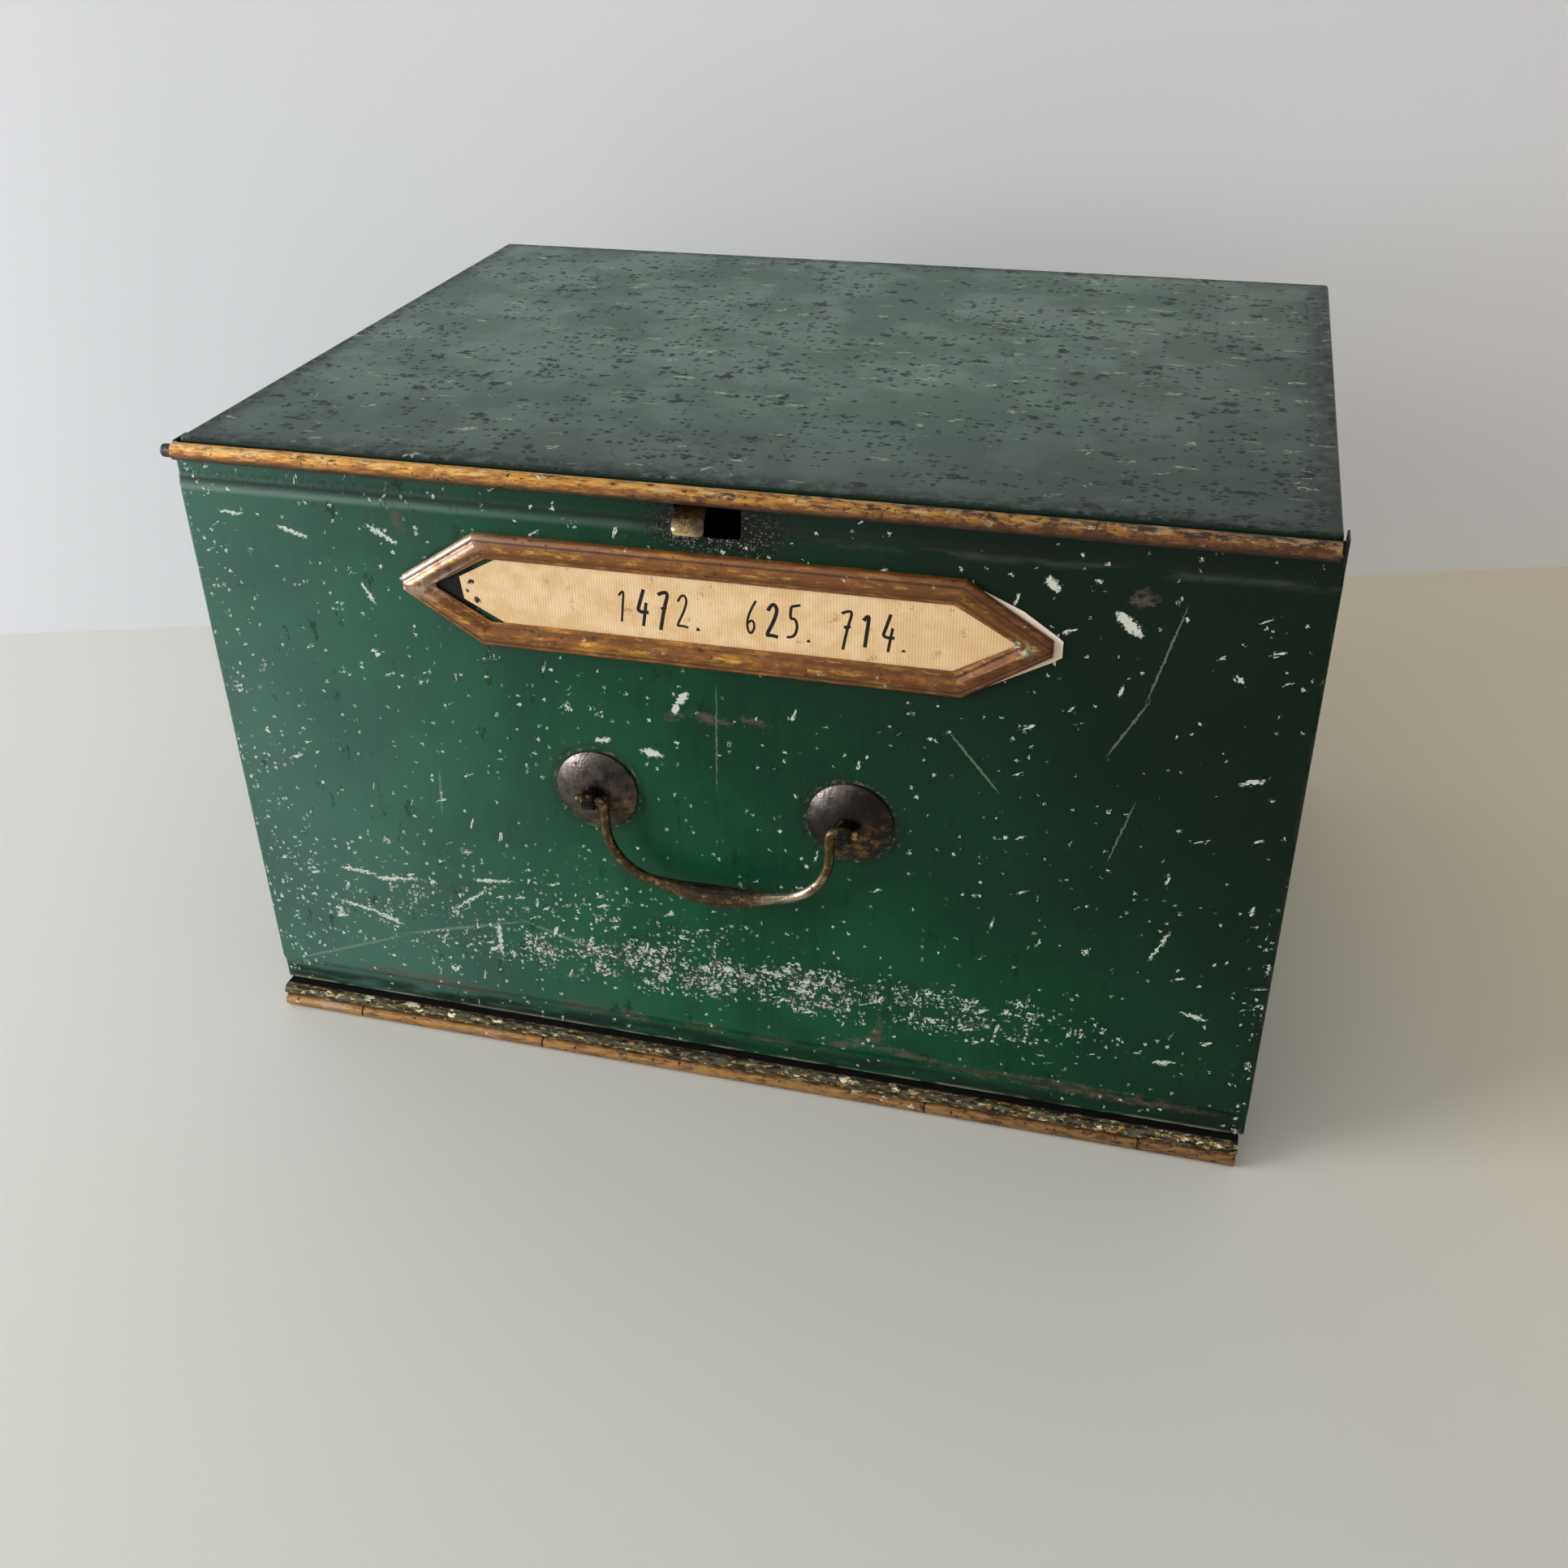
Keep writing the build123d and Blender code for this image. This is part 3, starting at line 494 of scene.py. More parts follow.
def top_enamel():
    """The same enamel on the top, gone grey and matt, its pale grey partly a painted reflection of the
    room, pitted with dark rust and crossed by hairlines.
    """
    material, sheet = start_material("bloomed_enamel_with_painted_reflection", ENAMEL_IOR)
    # the pale grey-green is partly the faded enamel and partly a painted reflection of the pale wall
    coat = green_coat(sheet, colour="#566c61", dark="#4a5e54", roughness=0.4, flat=True, brushed=0.05)
    across = along(sheet, RIGHT)
    back = along(sheet, BACK)
    # painted shade: the top darkens towards the right and towards the front
    coat = lay(coat, ramp(along(sheet, (1, -0.35, 0)), 60, 260, 0, 0.6), ("#262f2b", 0.42))
    coat = lay(coat, ramp(back, -40, -150, 0, 0.5), ("#2d3833", 0.42))
    edges = either(
        ramp(across, top_low[0] + 13, top_low[0] + 2),
        ramp(across, top_high[0] - 18, top_high[0] - 2),
        ramp(back, top_low[1] + 15, top_low[1] + 3),
        ramp(back, top_high[1] - 10, top_high[1] - 2),
    )
    coat = lay(coat, both(edges, clouds(sheet, 6, 0.25, 0.6, flat=True), 0.9), ("#1d2521", 0.45))
    stain = both(near(back, -117, 30), near(across, -15, 60))
    coat = lay(coat, both(stain, worn(sheet, 4, 0.5, soft=0.3, flat=True), 0.8), ("#1d2521", 0.5))

    crowd = ramp(clouds(sheet, 40, 0.36, 0.62, flat=True), 0, 1, 0.08, 0.42)
    small = flakes(sheet, 3.2, 1.3, crowd, stretch=(1.2, 1, 1), ragged=1.0, seed=21, flat=True)
    large = flakes(sheet, 7, 2.6, both(crowd, 0.7), stretch=(1.4, 1, 1), ragged=1.4, seed=22, flat=True)
    coat = lay(coat, both(either(small, large), 0.9), ("#121915", 0.5, 0.0, -0.05))
    for grain, level, seed in ((70, 0.5, 1), (45, 0.47, 2)):
        warped = node("TexNoise", {"Vector": sheet, "Scale": 1 / grain, "Detail": 2}, noise_dimensions="2D")
        line = near(warped, level, 0.3 / grain)
        broken = worn(sheet, 26, 0.34, seed=30 + seed, flat=True)
        coat = lay(coat, both(line, broken, 0.8), ("#1d2521", 0.5))
    pale = flakes(sheet, 6, 1.4, 0.12, stretch=(2.0, 1, 1), turn=8, ragged=1.5, seed=24, flat=True)
    scrape = flakes(sheet, 3.4, 0.8, 0.05, stretch=(6, 1, 1), turn=-6, ragged=1.0, seed=25, flat=True)
    coat = lay(coat, both(either(pale, scrape), 0.75), ("#a9ada2", 0.5, 0.1))
    return finish_material(material, coat)


def side_enamel():
    """The same enamel on the sides and back: less handled, scuffed along the foot and the edges."""
    material, place = start_material("dark_green_stoving_enamel", ENAMEL_IOR)
    coat = green_coat(place, colour="#164a31", dark="#103624")
    up = along(place, UP)
    foot = both(ramp(up, 14, 0), worn(place, 7, 0.6, stretch=(2, 2, 1)), 0.85)
    coat = lay(coat, foot, (OLD_METAL, 0.55, 0.2))
    coat = lay(coat, both(flakes(place, 8, 2.2, 0.2, seed=41), 0.6), ("#0c1711", 0.5))
    share = ramp(clouds(place, 26, 0.36, 0.66), 0, 1, 0.03, 0.34)
    coat = lay(coat, both(pale_chips(place, share, seed=50), 0.85), (TIN, 0.5, 0.1, -0.08))
    out = node("Math", {0: along(place, RIGHT)}, operation="ABSOLUTE")
    backward = along(place, BACK)
    corners = both(
        ramp(out, top_high[0] - 6, top_high[0] - 1.5),
        ramp(backward, top_high[1] - 6, top_high[1] - 1.5),
    )
    seams = either(corners, both(ramp(up, top_high[2] - 14, top_high[2] - 10), 0.5))
    seams = both(seams, worn(place, 5, 0.5, stretch=(1, 1, 3), seed=9), 0.85)
    coat = lay(coat, seams, (OLD_METAL, 0.5, 0.3))
    front_rim = both(
        ramp(up, top_high[2] - 9, top_high[2] - 6),
        ramp(backward, top_low[1] + 9, top_low[1] + 5),
    )
    coat = lay(coat, both(front_rim, 0.92), ("#121713", 0.5))
    lips = ramp(backward, side_low[1] + 2.5, side_low[1] + 1, 0, 0.65)
    coat = lay(coat, lips, ("#0a2416", 0.5))
    grazes = flakes(place, 4, 0.6, 0.12, stretch=(12, 12, 1), ragged=0.3, seed=60)
    coat = lay(coat, both(grazes, 0.45), ("#6c7d70", 0.5))
    return finish_material(material, coat)


def black_japan():
    """Black japan on the inside and under the box: thin, with brown rubbed places and a little rust."""
    material, place = start_material("black_japanned_tinplate", ENAMEL_IOR)
    coat = green_coat(place, colour="#23241d", dark="#151611", roughness=0.46)
    rubbed = worn(place, 18, 0.36, soft=0.2, stretch=(1, 3, 1), seed=2)
    coat = lay(coat, both(rubbed, 0.7), ("#5a5044", 0.5, 0.4))
    coat = lay(coat, both(flakes(place, 7, 2.0, 0.22, seed=61), 0.8), ("#5d3419", 0.7, 0.0, 0.02))
    return finish_material(material, coat)


def knuckle_gold():
    """Gold paint on the hinge knuckles, tanned and thin, dark where the joints rub."""
    material, place = start_material("tanned_bronze_powder_paint")
    across = along(place, RIGHT)
    wear = ramp(across, -200, 200, 0.3, 0.5)
    coat = gold_coat(place, wear, 0.07, ground="#4c3019", shine="#a57840", shade="#684424")
    dust = both(worn(place, 7, 0.5, soft=0.2, stretch=(5, 1, 1), seed=31), ramp(across, -200, 60, 0.75, 0))
    coat = lay(coat, dust, ("#a6927a", 0.6, 0.1))
    # painted shade: the knuckles darken towards the right
    coat = lay(coat, ramp(across, -60, 220, 0, 0.45), ("#2a1a10", 0.6, 0.1))
    # painted shade along the foot of the knuckles, where they meet the floor
    coat = lay(coat, ramp(along(place, UP), 1.8, 0.2, 0, 0.6), ("#2b1a10", 0.6, 0.1))
    out = node("Math", {0: across}, operation="ABSOLUTE")
    joints = [near(out, x, 0.9) for x in KNUCKLE_BREAKS]
    coat = lay(coat, both(either(*joints), 0.9), ("#120c08", 0.7))
    return finish_material(material, coat)


def bead_flaked():
    """The bead above the knuckles: bare dark tin with rubbed highlights and loose gold and cream flakes."""
    material, place = start_material("flaked_gold_on_dark_tin", ENAMEL_IOR)
    tone = clouds(place, 1.4, 0.34, 0.66, stretch=(5, 1, 1))
    metal = node("Mix", {0: tone, 6: linear("#1d1b15"), 7: linear("#5d584a")}, out=2, data_type="RGBA")
    coat = [metal, 0.42, 0.4, both(tone, 0.1)]
    coat = lay(coat, worn(place, 1.7, 0.4, stretch=(2.4, 1, 1), seed=13), ("#b3a274", 0.42, 0.4))
    coat = lay(coat, worn(place, 1.8, 0.36, stretch=(2.4, 1, 1), seed=17), ("#b5823a", 0.42, 0.3))
    loose = flakes(place, 3.4, 1.7, 0.4, stretch=(2.0, 1, 1), ragged=1.5, seed=14)
    coat = lay(coat, loose, ("#d8cfaa", 0.5, 0.2, 0.04))
    coat = lay(coat, worn(place, 3, 0.3, seed=19), ("#17150f", 0.6, 0.1))
    # painted shadow: the back of the bead, in the gap under the door panel, is black
    behind = ramp(along(place, BACK), BEAD_Y + 1.5, BEAD_Y + 2.7)
    return finish_material(material, lay(coat, behind, ("#020202", 1.0)))


# ================================================================ materials: fittings
def patina(place, dark, light, grain, roughness, metal=0.85, stretch=(1, 1, 1), light_share=0.5, seed=0):
    """Old metal: dark skin with lighter metal showing where hands have rubbed it."""
    rubbed = worn(place, grain, light_share, soft=0.3, stretch=stretch, seed=seed)
    colour = node("Mix", {0: rubbed, 6: linear(dark), 7: linear(light)}, out=2, data_type="RGBA")
    fine = clouds(place, 1.0, 0.3, 0.7)
    rough = ramp(fine, 0, 1, roughness - 0.07, roughness + 0.1)
    return [colour, rough, ramp(rubbed, 0, 1, metal - 0.25, metal), both(fine, 0.06)]


def label_frame_finish():
    """Copper-lacquered pressed brass: golden on its ridge, dark in its grooves, with verdigris."""
    material, place = start_material("copper_lacquered_pressed_brass")
    coat = patina(place, "#7c4a1c", "#d8963c", 2.2, 0.3, metal=0.6, stretch=(5, 1, 2), seed=5)

    # how far a point lies inside the frame's outline, the same along its sides and its pointed ends
    centred = node("VectorMath", {0: place, 1: (0, 0, LABEL_Z)}, operation="SUBTRACT")
    mirrored = node("VectorMath", {0: centred}, operation="ABSOLUTE")
    from_side = node("Math", {0: along(mirrored, UP), 1: LABEL_HALF_HEIGHT}, operation="SUBTRACT")
    from_end = node("Math", {0: along(mirrored, LABEL_END), 1: LABEL_END_REACH}, operation="SUBTRACT")
    outline = either(from_side, from_end)

    ridge = near(outline, -5.2, 2.4)
    groove = near(outline, -2.3, 0.8)
    lip = near(outline, -8.6, 0.8)
    inner = near(outline, -7.6, 1.2)
    height = node("Math", {0: ridge, 1: 0.7, 2: both(lip, 0.35)}, operation="MULTIPLY_ADD")
    coat[3] = node("Math", {0: groove, 1: -0.25, 2: height}, operation="MULTIPLY_ADD")

    upper = ramp(along(centred, (-0.12, 0, 1)), 4, 16)
    across = along(place, RIGHT)
    leftward = ramp(across, 0, -90, 0.25, 0.8)
    # painted sheen: a pinkish reflection on the outer slope, along the top and towards the left
    sheen = both(near(outline, -1.6, 2.4), upper, leftward)
    coat = lay(coat, sheen, ("#946f5e", 0.36, 0.4))
    gilt = worn(place, 1.8, 0.46, soft=0.12, stretch=(4, 1, 1), seed=15)
    coat = lay(coat, both(gilt, either(ridge, lip, 0.25), 0.9), ("#e0a94e", 0.32, 0.6))
    coat = lay(coat, both(groove, 0.75), ("#25130a", 0.5, 0.3))
    coat = lay(coat, both(inner, 0.5), ("#34190c", 0.5, 0.3))
    # painted shade: the frame darkens towards the right
    coat = lay(coat, ramp(across, 0, 130, 0, 0.5), ("#3d1c0d", 0.4, 0.4))
    # painted sheen: pale grey on the upper left point of the frame
    left_point_sheen = both(ramp(along(place, (1, 0, -0.4)), -85 - 0.4 * LABEL_Z, -112 - 0.4 * LABEL_Z), upper)
    coat = lay(coat, both(left_point_sheen, clouds(place, 3, 0.3, 0.6), 0.8), ("#b3a092", 0.4, 0.4))
    coat = lay(coat, both(flakes(place, 3.0, 1.0, 0.3, seed=17), 0.85), ("#1f120b", 0.6, 0.1))
    pale = flakes(place, 5, 1.2, 0.2, stretch=(1.6, 1, 1), ragged=1.4, seed=16)
    coat = lay(coat, both(pale, 0.8), ("#cdb48a", 0.5, 0.2))
    point_patch = both(
        near(across, label_high[0] - 10, 7),
        near(along(centred, (0.3, 0, 1)), 0.3 * label_high[0] - 3, 5),
        worn(place, 2, 0.66, soft=0.2, seed=29),
        1.8,
    )
    green = either(flakes(place, 12, 3.0, 0.16, ragged=1.8, seed=18), point_patch)
    return finish_material(material, lay(coat, both(green, 0.75), ("#7f9a78", 0.7)))


def rosette_finish():
    """Pressed steel gone brown-black: a painted sheen on the upper left of the dome, bronze where the
    lacquer is left.
    """
    material, place = start_material("browned_pressed_steel")
    coat = patina(place, "#1e1a18", "#41382f", 7, 0.24, metal=0.94, seed=6)
    aside = along(place, RIGHT)
    left_one = node("Math", {0: aside, 1: 0}, operation="LESS_THAN")
    shift = node("Math", {0: left_one, 1: 2 * POST_X, 2: aside}, operation="MULTIPLY_ADD")
    slant = node("Math", {0: both(shift, -0.55), 1: along(place, (0, 0, 0.83))}, operation="ADD")
    middle = -0.55 * POST_X + 0.83 * POST_Z
    upper = ramp(slant, middle + 6, middle + 18)
    lower = ramp(slant, middle + 2, middle - 12)
    bronze = both(worn(place, 4, 0.66, soft=0.3, seed=19), lower, 0.85)
    coat = lay(coat, bronze, ("#a67c49", 0.26, 0.9))
    # painted sheen on the upper left of each dome
    coat = lay(coat, both(upper, clouds(place, 5, 0.3, 0.6), 0.42), ("#a0948d", 0.2, 0.9))
    # painted light: the left rosette, nearer the window, is lighter grey
    lighter_left_rosette = both(left_one, clouds(place, 4, 0.3, 0.6), 0.3)
    coat = lay(coat, lighter_left_rosette, ("#7a6f69", 0.3, 0.85))
    coat = lay(coat, both(worn(place, 2.2, 0.42, soft=0.2, seed=23), 0.8), ("#16120f", 0.5, 0.4))
    coat = lay(coat, flakes(place, 3, 0.9, 0.25, seed=20), ("#120d0a", 0.6, 0.3, -0.05))
    return finish_material(material, coat)


def post_finish():
    """Turned brass eyes, almost black, bright only on their corners."""
    material, place = start_material("blackened_turned_brass")
    coat = patina(place, "#15110c", "#b08c58", 2.0, 0.2, metal=1.0, light_share=0.36, seed=7)
    return finish_material(material, coat)


def bail_finish():
    """Cast bronze grip: dark in fine grooves along its length, golden brown where it is held."""
    material, place = start_material("rubbed_cast_bronze")
    from_bow = node("VectorMath", {0: place, 1: (0, BAIL_Y, BOW_CENTRE_Z)}, operation="SUBTRACT")
    flat = node("VectorMath", {0: from_bow, 1: (1, 0, 1)}, operation="MULTIPLY")
    outward = node("VectorMath", {0: flat}, out=1, operation="LENGTH")
    sideways = both(along(from_bow, RIGHT), 0.05)
    lengthwise = node("CombineXYZ", {0: sideways, 1: along(from_bow, BACK), 2: outward})
    coat = patina(place, "#4a3920", "#c4a26c", 2.4, 0.15, metal=1.0, light_share=0.5, seed=8)
    grooves = clouds(lengthwise, 0.62, 0.44, 0.56)
    across = along(place, RIGHT)
    middle = near(across, 2, 38)
    coat = lay(coat, both(grooves, middle, 0.85), ("#1a120a", 0.5, 0.5, -0.14))
    # painted shade on the upper, inner side of the bow
    painted_shade_upper_side = ramp(outward, BOW_RADIUS - 0.6, BOW_RADIUS - 3.4, 0, 0.94)
    coat = lay(coat, both(painted_shade_upper_side, near(across, -6, 36)), ("#110c07", 0.4, 0.6))
    # painted highlight: a near-white glint on the right-hand bend
    painted_highlight_bend = both(near(across, 29, 17), worn(lengthwise, 3, 0.74, soft=0.3, seed=39))
    coat = lay(coat, both(painted_highlight_bend, 0.8), ("#efe0c6", 0.14, 1.0))
    pits = flakes(place, 1.8, 0.7, 0.34, seed=27)
    return finish_material(material, lay(coat, both(pits, 0.85), ("#160e08", 0.6, 0.4, -0.04)))


def catch_finish():
    """Rolled spring brass: brown skin, bright at the flared tip, partly rubbed by the thumb and partly a
    painted highlight.
    """
    material, place = start_material("tarnished_spring_brass")
    coat = patina(place, "#3b2b18", "#a8854f", 2.2, 0.24, metal=0.94, seed=10)
    # bright metal at the lower left of the tip: partly rubbed by the thumb, partly a painted highlight
    tip = ramp(along(place, (0.25, 0, 1)), tongue_low[2] + 3.5, tongue_low[2] - 2.2, 0, 0.85)
    coat = lay(coat, tip, ("#d8b98a", 0.28, 0.95))
    # painted shade: the tongue darkens towards its right, beside the hole
    rightward = along(place, (1, 0, 0.3))
    right_side_shade = ramp(rightward, 0.3 * tongue_low[2] - 5.5, 0.3 * tongue_low[2] - 1.5, 0, 0.75)
    coat = lay(coat, right_side_shade, ("#2a1a0e", 0.5, 0.4))
    blotched = both(worn(place, 1.8, 0.5, soft=0.15, seed=37), 0.8)
    coat = lay(coat, blotched, ("#3a220f", 0.45, 0.4))

    # painted shade in the lower corners, outside a rounded outline, so that the square tongue reads as
    # rounded
    sideways = node("Math", {0: along(place, RIGHT), 1: TONGUE_MIDDLE}, operation="SUBTRACT")
    sideways = node("Math", {0: sideways}, operation="ABSOLUTE")
    past_corner = node(
        "VectorMath",
        {
            0: node("CombineXYZ", {0: sideways, 1: both(along(place, UP), -1)}),
            1: (TONGUE_HALF - TONGUE_CORNER, -tongue_low[2] - TONGUE_CORNER + 0.2, 0),
        },
        operation="SUBTRACT",
    )
    past_corner = node("VectorMath", {0: past_corner, 1: (0, 0, 0)}, operation="MAXIMUM")
    outside = node("VectorMath", {0: past_corner}, out=1, operation="LENGTH")
    corner_shade = ramp(outside, TONGUE_CORNER - 0.3, TONGUE_CORNER + 0.1, 0, 0.96)
    return finish_material(material, lay(coat, corner_shade, ("#040403", 1.0)))


def steel_finish():
    """Tinned steel rod, rivets and nuts: dull grey with brown specks."""
    material, place = start_material("dull_tinned_steel")
    coat = patina(place, "#3a3733", "#86837b", 4, 0.36, metal=0.9, seed=12)
    return finish_material(material, lay(coat, flakes(place, 3, 0.9, 0.25, seed=28), ("#3c2616", 0.7, 0.2)))


INK_SPOTS = (
    ((-93.5, LABEL_Z + 2.6), (1.6, 0.8), 20),
    ((-91.8, LABEL_Z - 4.6), (1.1, 1.3), 0),
    ((-95.5, LABEL_Z - 1.0), (0.8, 0.6), 0),
)


def card_finish():
    """Laid paper card: fine upright ribs, browned in the window, foxed, and pale where it was covered."""
    material, place = start_material("aged_laid_paper_card", 1.4)
    sheet = facing(place, (90, 0, 0))
    across = along(place, RIGHT)
    # one wave at scale 1 is 0.314 mm, so these ribs stand 1.1 mm apart, as laid lines do
    laid_lines = {"Vector": place, "Scale": 0.29, "Distortion": 0.8, "Detail": 1}
    ribs = node("TexWave", laid_lines, bands_direction="X")
    tone = clouds(sheet, 11, 0.35, 0.65, flat=True, detail=4)
    browned = node("Mix", {0: tone, 6: linear("#d9b484"), 7: linear("#e4c69b")}, out=2, data_type="RGBA")
    coat = [browned, 0.85, 0.0, both(ribs, 0.03)]
    coat = lay(coat, ramp(across, 20, 110, 0, 0.5), ("#d7ae7c", 0.85))
    coat = lay(coat, both(ribs, ramp(across, -90, 60, 0.22, 0.08)), ("#b58f60", 0.85))
    stain = worn(sheet, 6, 0.34, soft=0.3, seed=72, flat=True)
    coat = lay(coat, both(stain, 0.3), ("#b9884f", 0.85))
    pulp = worn(sheet, 1.6, 0.42, soft=0.3, stretch=(1.6, 1, 1), seed=74, flat=True)
    coat = lay(coat, both(pulp, 0.3), ("#c3985c", 0.85))
    foxed = flakes(sheet, 4.5, 1.4, 0.2, ragged=1.6, seed=71, flat=True)
    coat = lay(coat, both(foxed, 0.5), ("#9c6a39", 0.85))
    # pale borders at the right-hand point, above and below, that the frame once covered
    for up, colour in ((0.866, "#ecdccb"), (-0.866, "#e6d0b4")):
        border = 0.5 * 86 + up * LABEL_Z + 0.866 * 19
        outward = along(place, (0.5, 0, up))
        coat = lay(coat, ramp(outward, border, border + 1.866), (colour, 0.85))
    coat = lay(coat, marks(sheet, INK_SPOTS, 3), ("#17130f", 0.8))
    return finish_material(material, coat)


def ink_finish():
    """Iron-gall ink: brown-black, soaked into the paper, with no shine."""
    material, place = start_material("iron_gall_ink", 1.4)
    tone = clouds(place, 2.5, 0.3, 0.7)
    colour = node("Mix", {0: tone, 6: linear("#080605"), 7: linear("#1d140f")}, out=2, data_type="RGBA")
    return finish_material(material, [colour, ramp(tone, 0, 1, 0.7, 0.9), 0.0, both(tone, 0.005)])


# ================================================================ which face wears which finish
def faces_middle(centre, normal):
    """True on a face that looks at the inside of the box."""
    return normal.dot(centre - Vector(BOX_MIDDLE)) < 0


def on_roll(centre, normal):
    """True on the rolled top edge of the door."""
    off_axis = Vector((0, centre.y - ROD_Y, centre.z - ROD_Z)).length
    return off_axis < ROLL_RADIUS + 0.15 and abs(centre.x) < ROLL_HALF + 0.2


def on_rim(centre, normal):
    """True on the turned-down rim of the top."""
    return abs(normal.z) < 0.6


def on_return(centre, normal):
    """True on the upright returns at the door's left and right."""
    return abs(normal.x) > 0.6


def above_knuckles(centre, normal):
    """True on the bead that stands above the hinge knuckles."""
    return centre.z > BEAD_SPLIT_Z


def dress(names, finish, *special):
    """Gives CAD pieces a finish, and other finishes to the faces that a test picks out."""
    for name in names:
        piece = nodes[name]
        piece.material_slots[0].material = finish
        for index, (test, other) in enumerate(special, 1):
            piece.data.materials.append(other)
            for face in piece.data.polygons:
                if test(face.center / MM, face.normal):
                    face.material_index = index


japan = black_japan()
gold = bead_gold()
side = side_enamel()
steel = steel_finish()
knuckles = knuckle_gold()
dress(("case_top",), top_enamel(), (on_rim, side), (faces_middle, japan))
dress(("case_left_side", "case_right_side", "case_back"), side, (faces_middle, japan))
dress(("case_bottom",), japan)
dress(("door_panel",), door_enamel(), (on_return, side), (faces_middle, japan), (on_roll, gold))
dress(("case_hinge_leaf", "door_hinge_strip"), knuckles, (above_knuckles, bead_flaked()))
dress(("hinge_pin", "catch_plate", "catch_rivets"), steel)
dress(("door_edge_wire", "handle_washers", "handle_nuts"), steel)
dress(("label_frame",), label_frame_finish())
dress(("handle_rosette_left", "handle_rosette_right"), rosette_finish())
dress(("handle_post_left", "handle_post_right"), post_finish())
dress(("handle_bail",), bail_finish())
dress(("catch_spring",), catch_finish())


# ================================================================ new pieces
def piece_from(name, mesh_maker, material, body):
    """A finished piece at the origin, with its place in its mesh, that rides on a body."""
    mesh = bpy.data.meshes.new(name)
    shape = bmesh.new()
    mesh_maker(shape)
    bmesh.ops.recalc_face_normals(shape, faces=shape.faces)
    shape.to_mesh(mesh)
    shape.free()
    piece = bpy.data.objects.new(name, mesh)
    bpy.context.scene.collection.objects.link(piece)
    mesh.materials.append(material)
    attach(piece, body)
    return piece


CARD_FRONT = card_low[1]
CARD_BACK = card_high[1]


def cut_card(shape):
    """The card, cut by hand: its corners are a little uneven."""
    left, right = card_low[0], card_high[0]
    foot, head = card_low[2] + 0.1, card_high[2] - 0.1
    outline = (
        (left, LABEL_Z + 4.2),
        (left + 26.0, head - 0.3),
        (right - 27.5, head),
        (right - 14.0, LABEL_Z + 12.6),
        (right - 2.0, LABEL_Z + 4.4),
        (right, LABEL_Z + 2.8),
        (right, LABEL_Z - 3.2),
        (right - 2.5, LABEL_Z - 5.0),
        (right - 26.0, foot + 0.6),
        (right - 31.0, foot),
        (left + 27.0, foot + 0.2),
        (left + 1.0, LABEL_Z - 4.6),
    )
    corners = [shape.verts.new((x * MM, CARD_BACK * MM, z * MM)) for x, z in outline]
    sheet = shape.faces.new(corners)
    pushed = bmesh.ops.extrude_face_region(shape, geom=[sheet])
    moved = [v for v in pushed["geom"] if isinstance(v, bmesh.types.BMVert)]
    bmesh.ops.translate(shape, verts=moved, vec=(0, (CARD_FRONT - CARD_BACK) * MM, 0))


card = piece_from("label_card_cut", cut_card, card_finish(), "card")
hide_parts("label_card")

CURL_RADIUS = 2.1
CURL_X = (-11.7, -1.3)
CURL_MIDDLE = -7.4
CURL_Y = tongue_low[1] + CURL_RADIUS + 0.2
CURL_Z = tongue_low[2] + 1.2


def roll_curl(shape):
    """The end of the spring leaf rolled into a curl for the thumb, narrower at its right end."""
    line = [shape.verts.new((CURL_X[0] * MM, (CURL_Y - CURL_RADIUS) * MM, CURL_Z * MM))]
    steps = 6
    made = bmesh.ops.extrude_vert_indiv(shape, verts=line)
    bmesh.ops.translate(shape, verts=made["verts"], vec=((CURL_X[1] - CURL_X[0]) * MM, 0, 0))
    bmesh.ops.subdivide_edges(shape, edges=shape.edges, cuts=steps)
    for vert in shape.verts:
        share = (vert.co.x / MM - CURL_X[0]) / (CURL_X[1] - CURL_X[0])
        vert.co.y += 0.5 * share * share * MM
    bmesh.ops.spin(
        shape,
        geom=shape.verts[:] + shape.edges[:],
        cent=(0, CURL_Y * MM, CURL_Z * MM),
        axis=RIGHT,
        angle=radians(-250),
        steps=14,
        use_merge=False,
    )
    for vert in shape.verts:
        fall = max(0.0, CURL_Z - vert.co.z / MM) / CURL_RADIUS
        vert.co.x += (CURL_MIDDLE - vert.co.x / MM) * 0.42 * fall**3 * MM
    bmesh.ops.recalc_face_normals(shape, faces=shape.faces)
    bmesh.ops.solidify(shape, geom=shape.faces, thickness=0.45 * MM)


catch_brass = nodes["catch_spring"].material_slots[0].material
curl = piece_from("catch_thumb_curl", roll_curl, catch_brass, "catch")
for face in curl.data.polygons:
    face.use_smooth = True


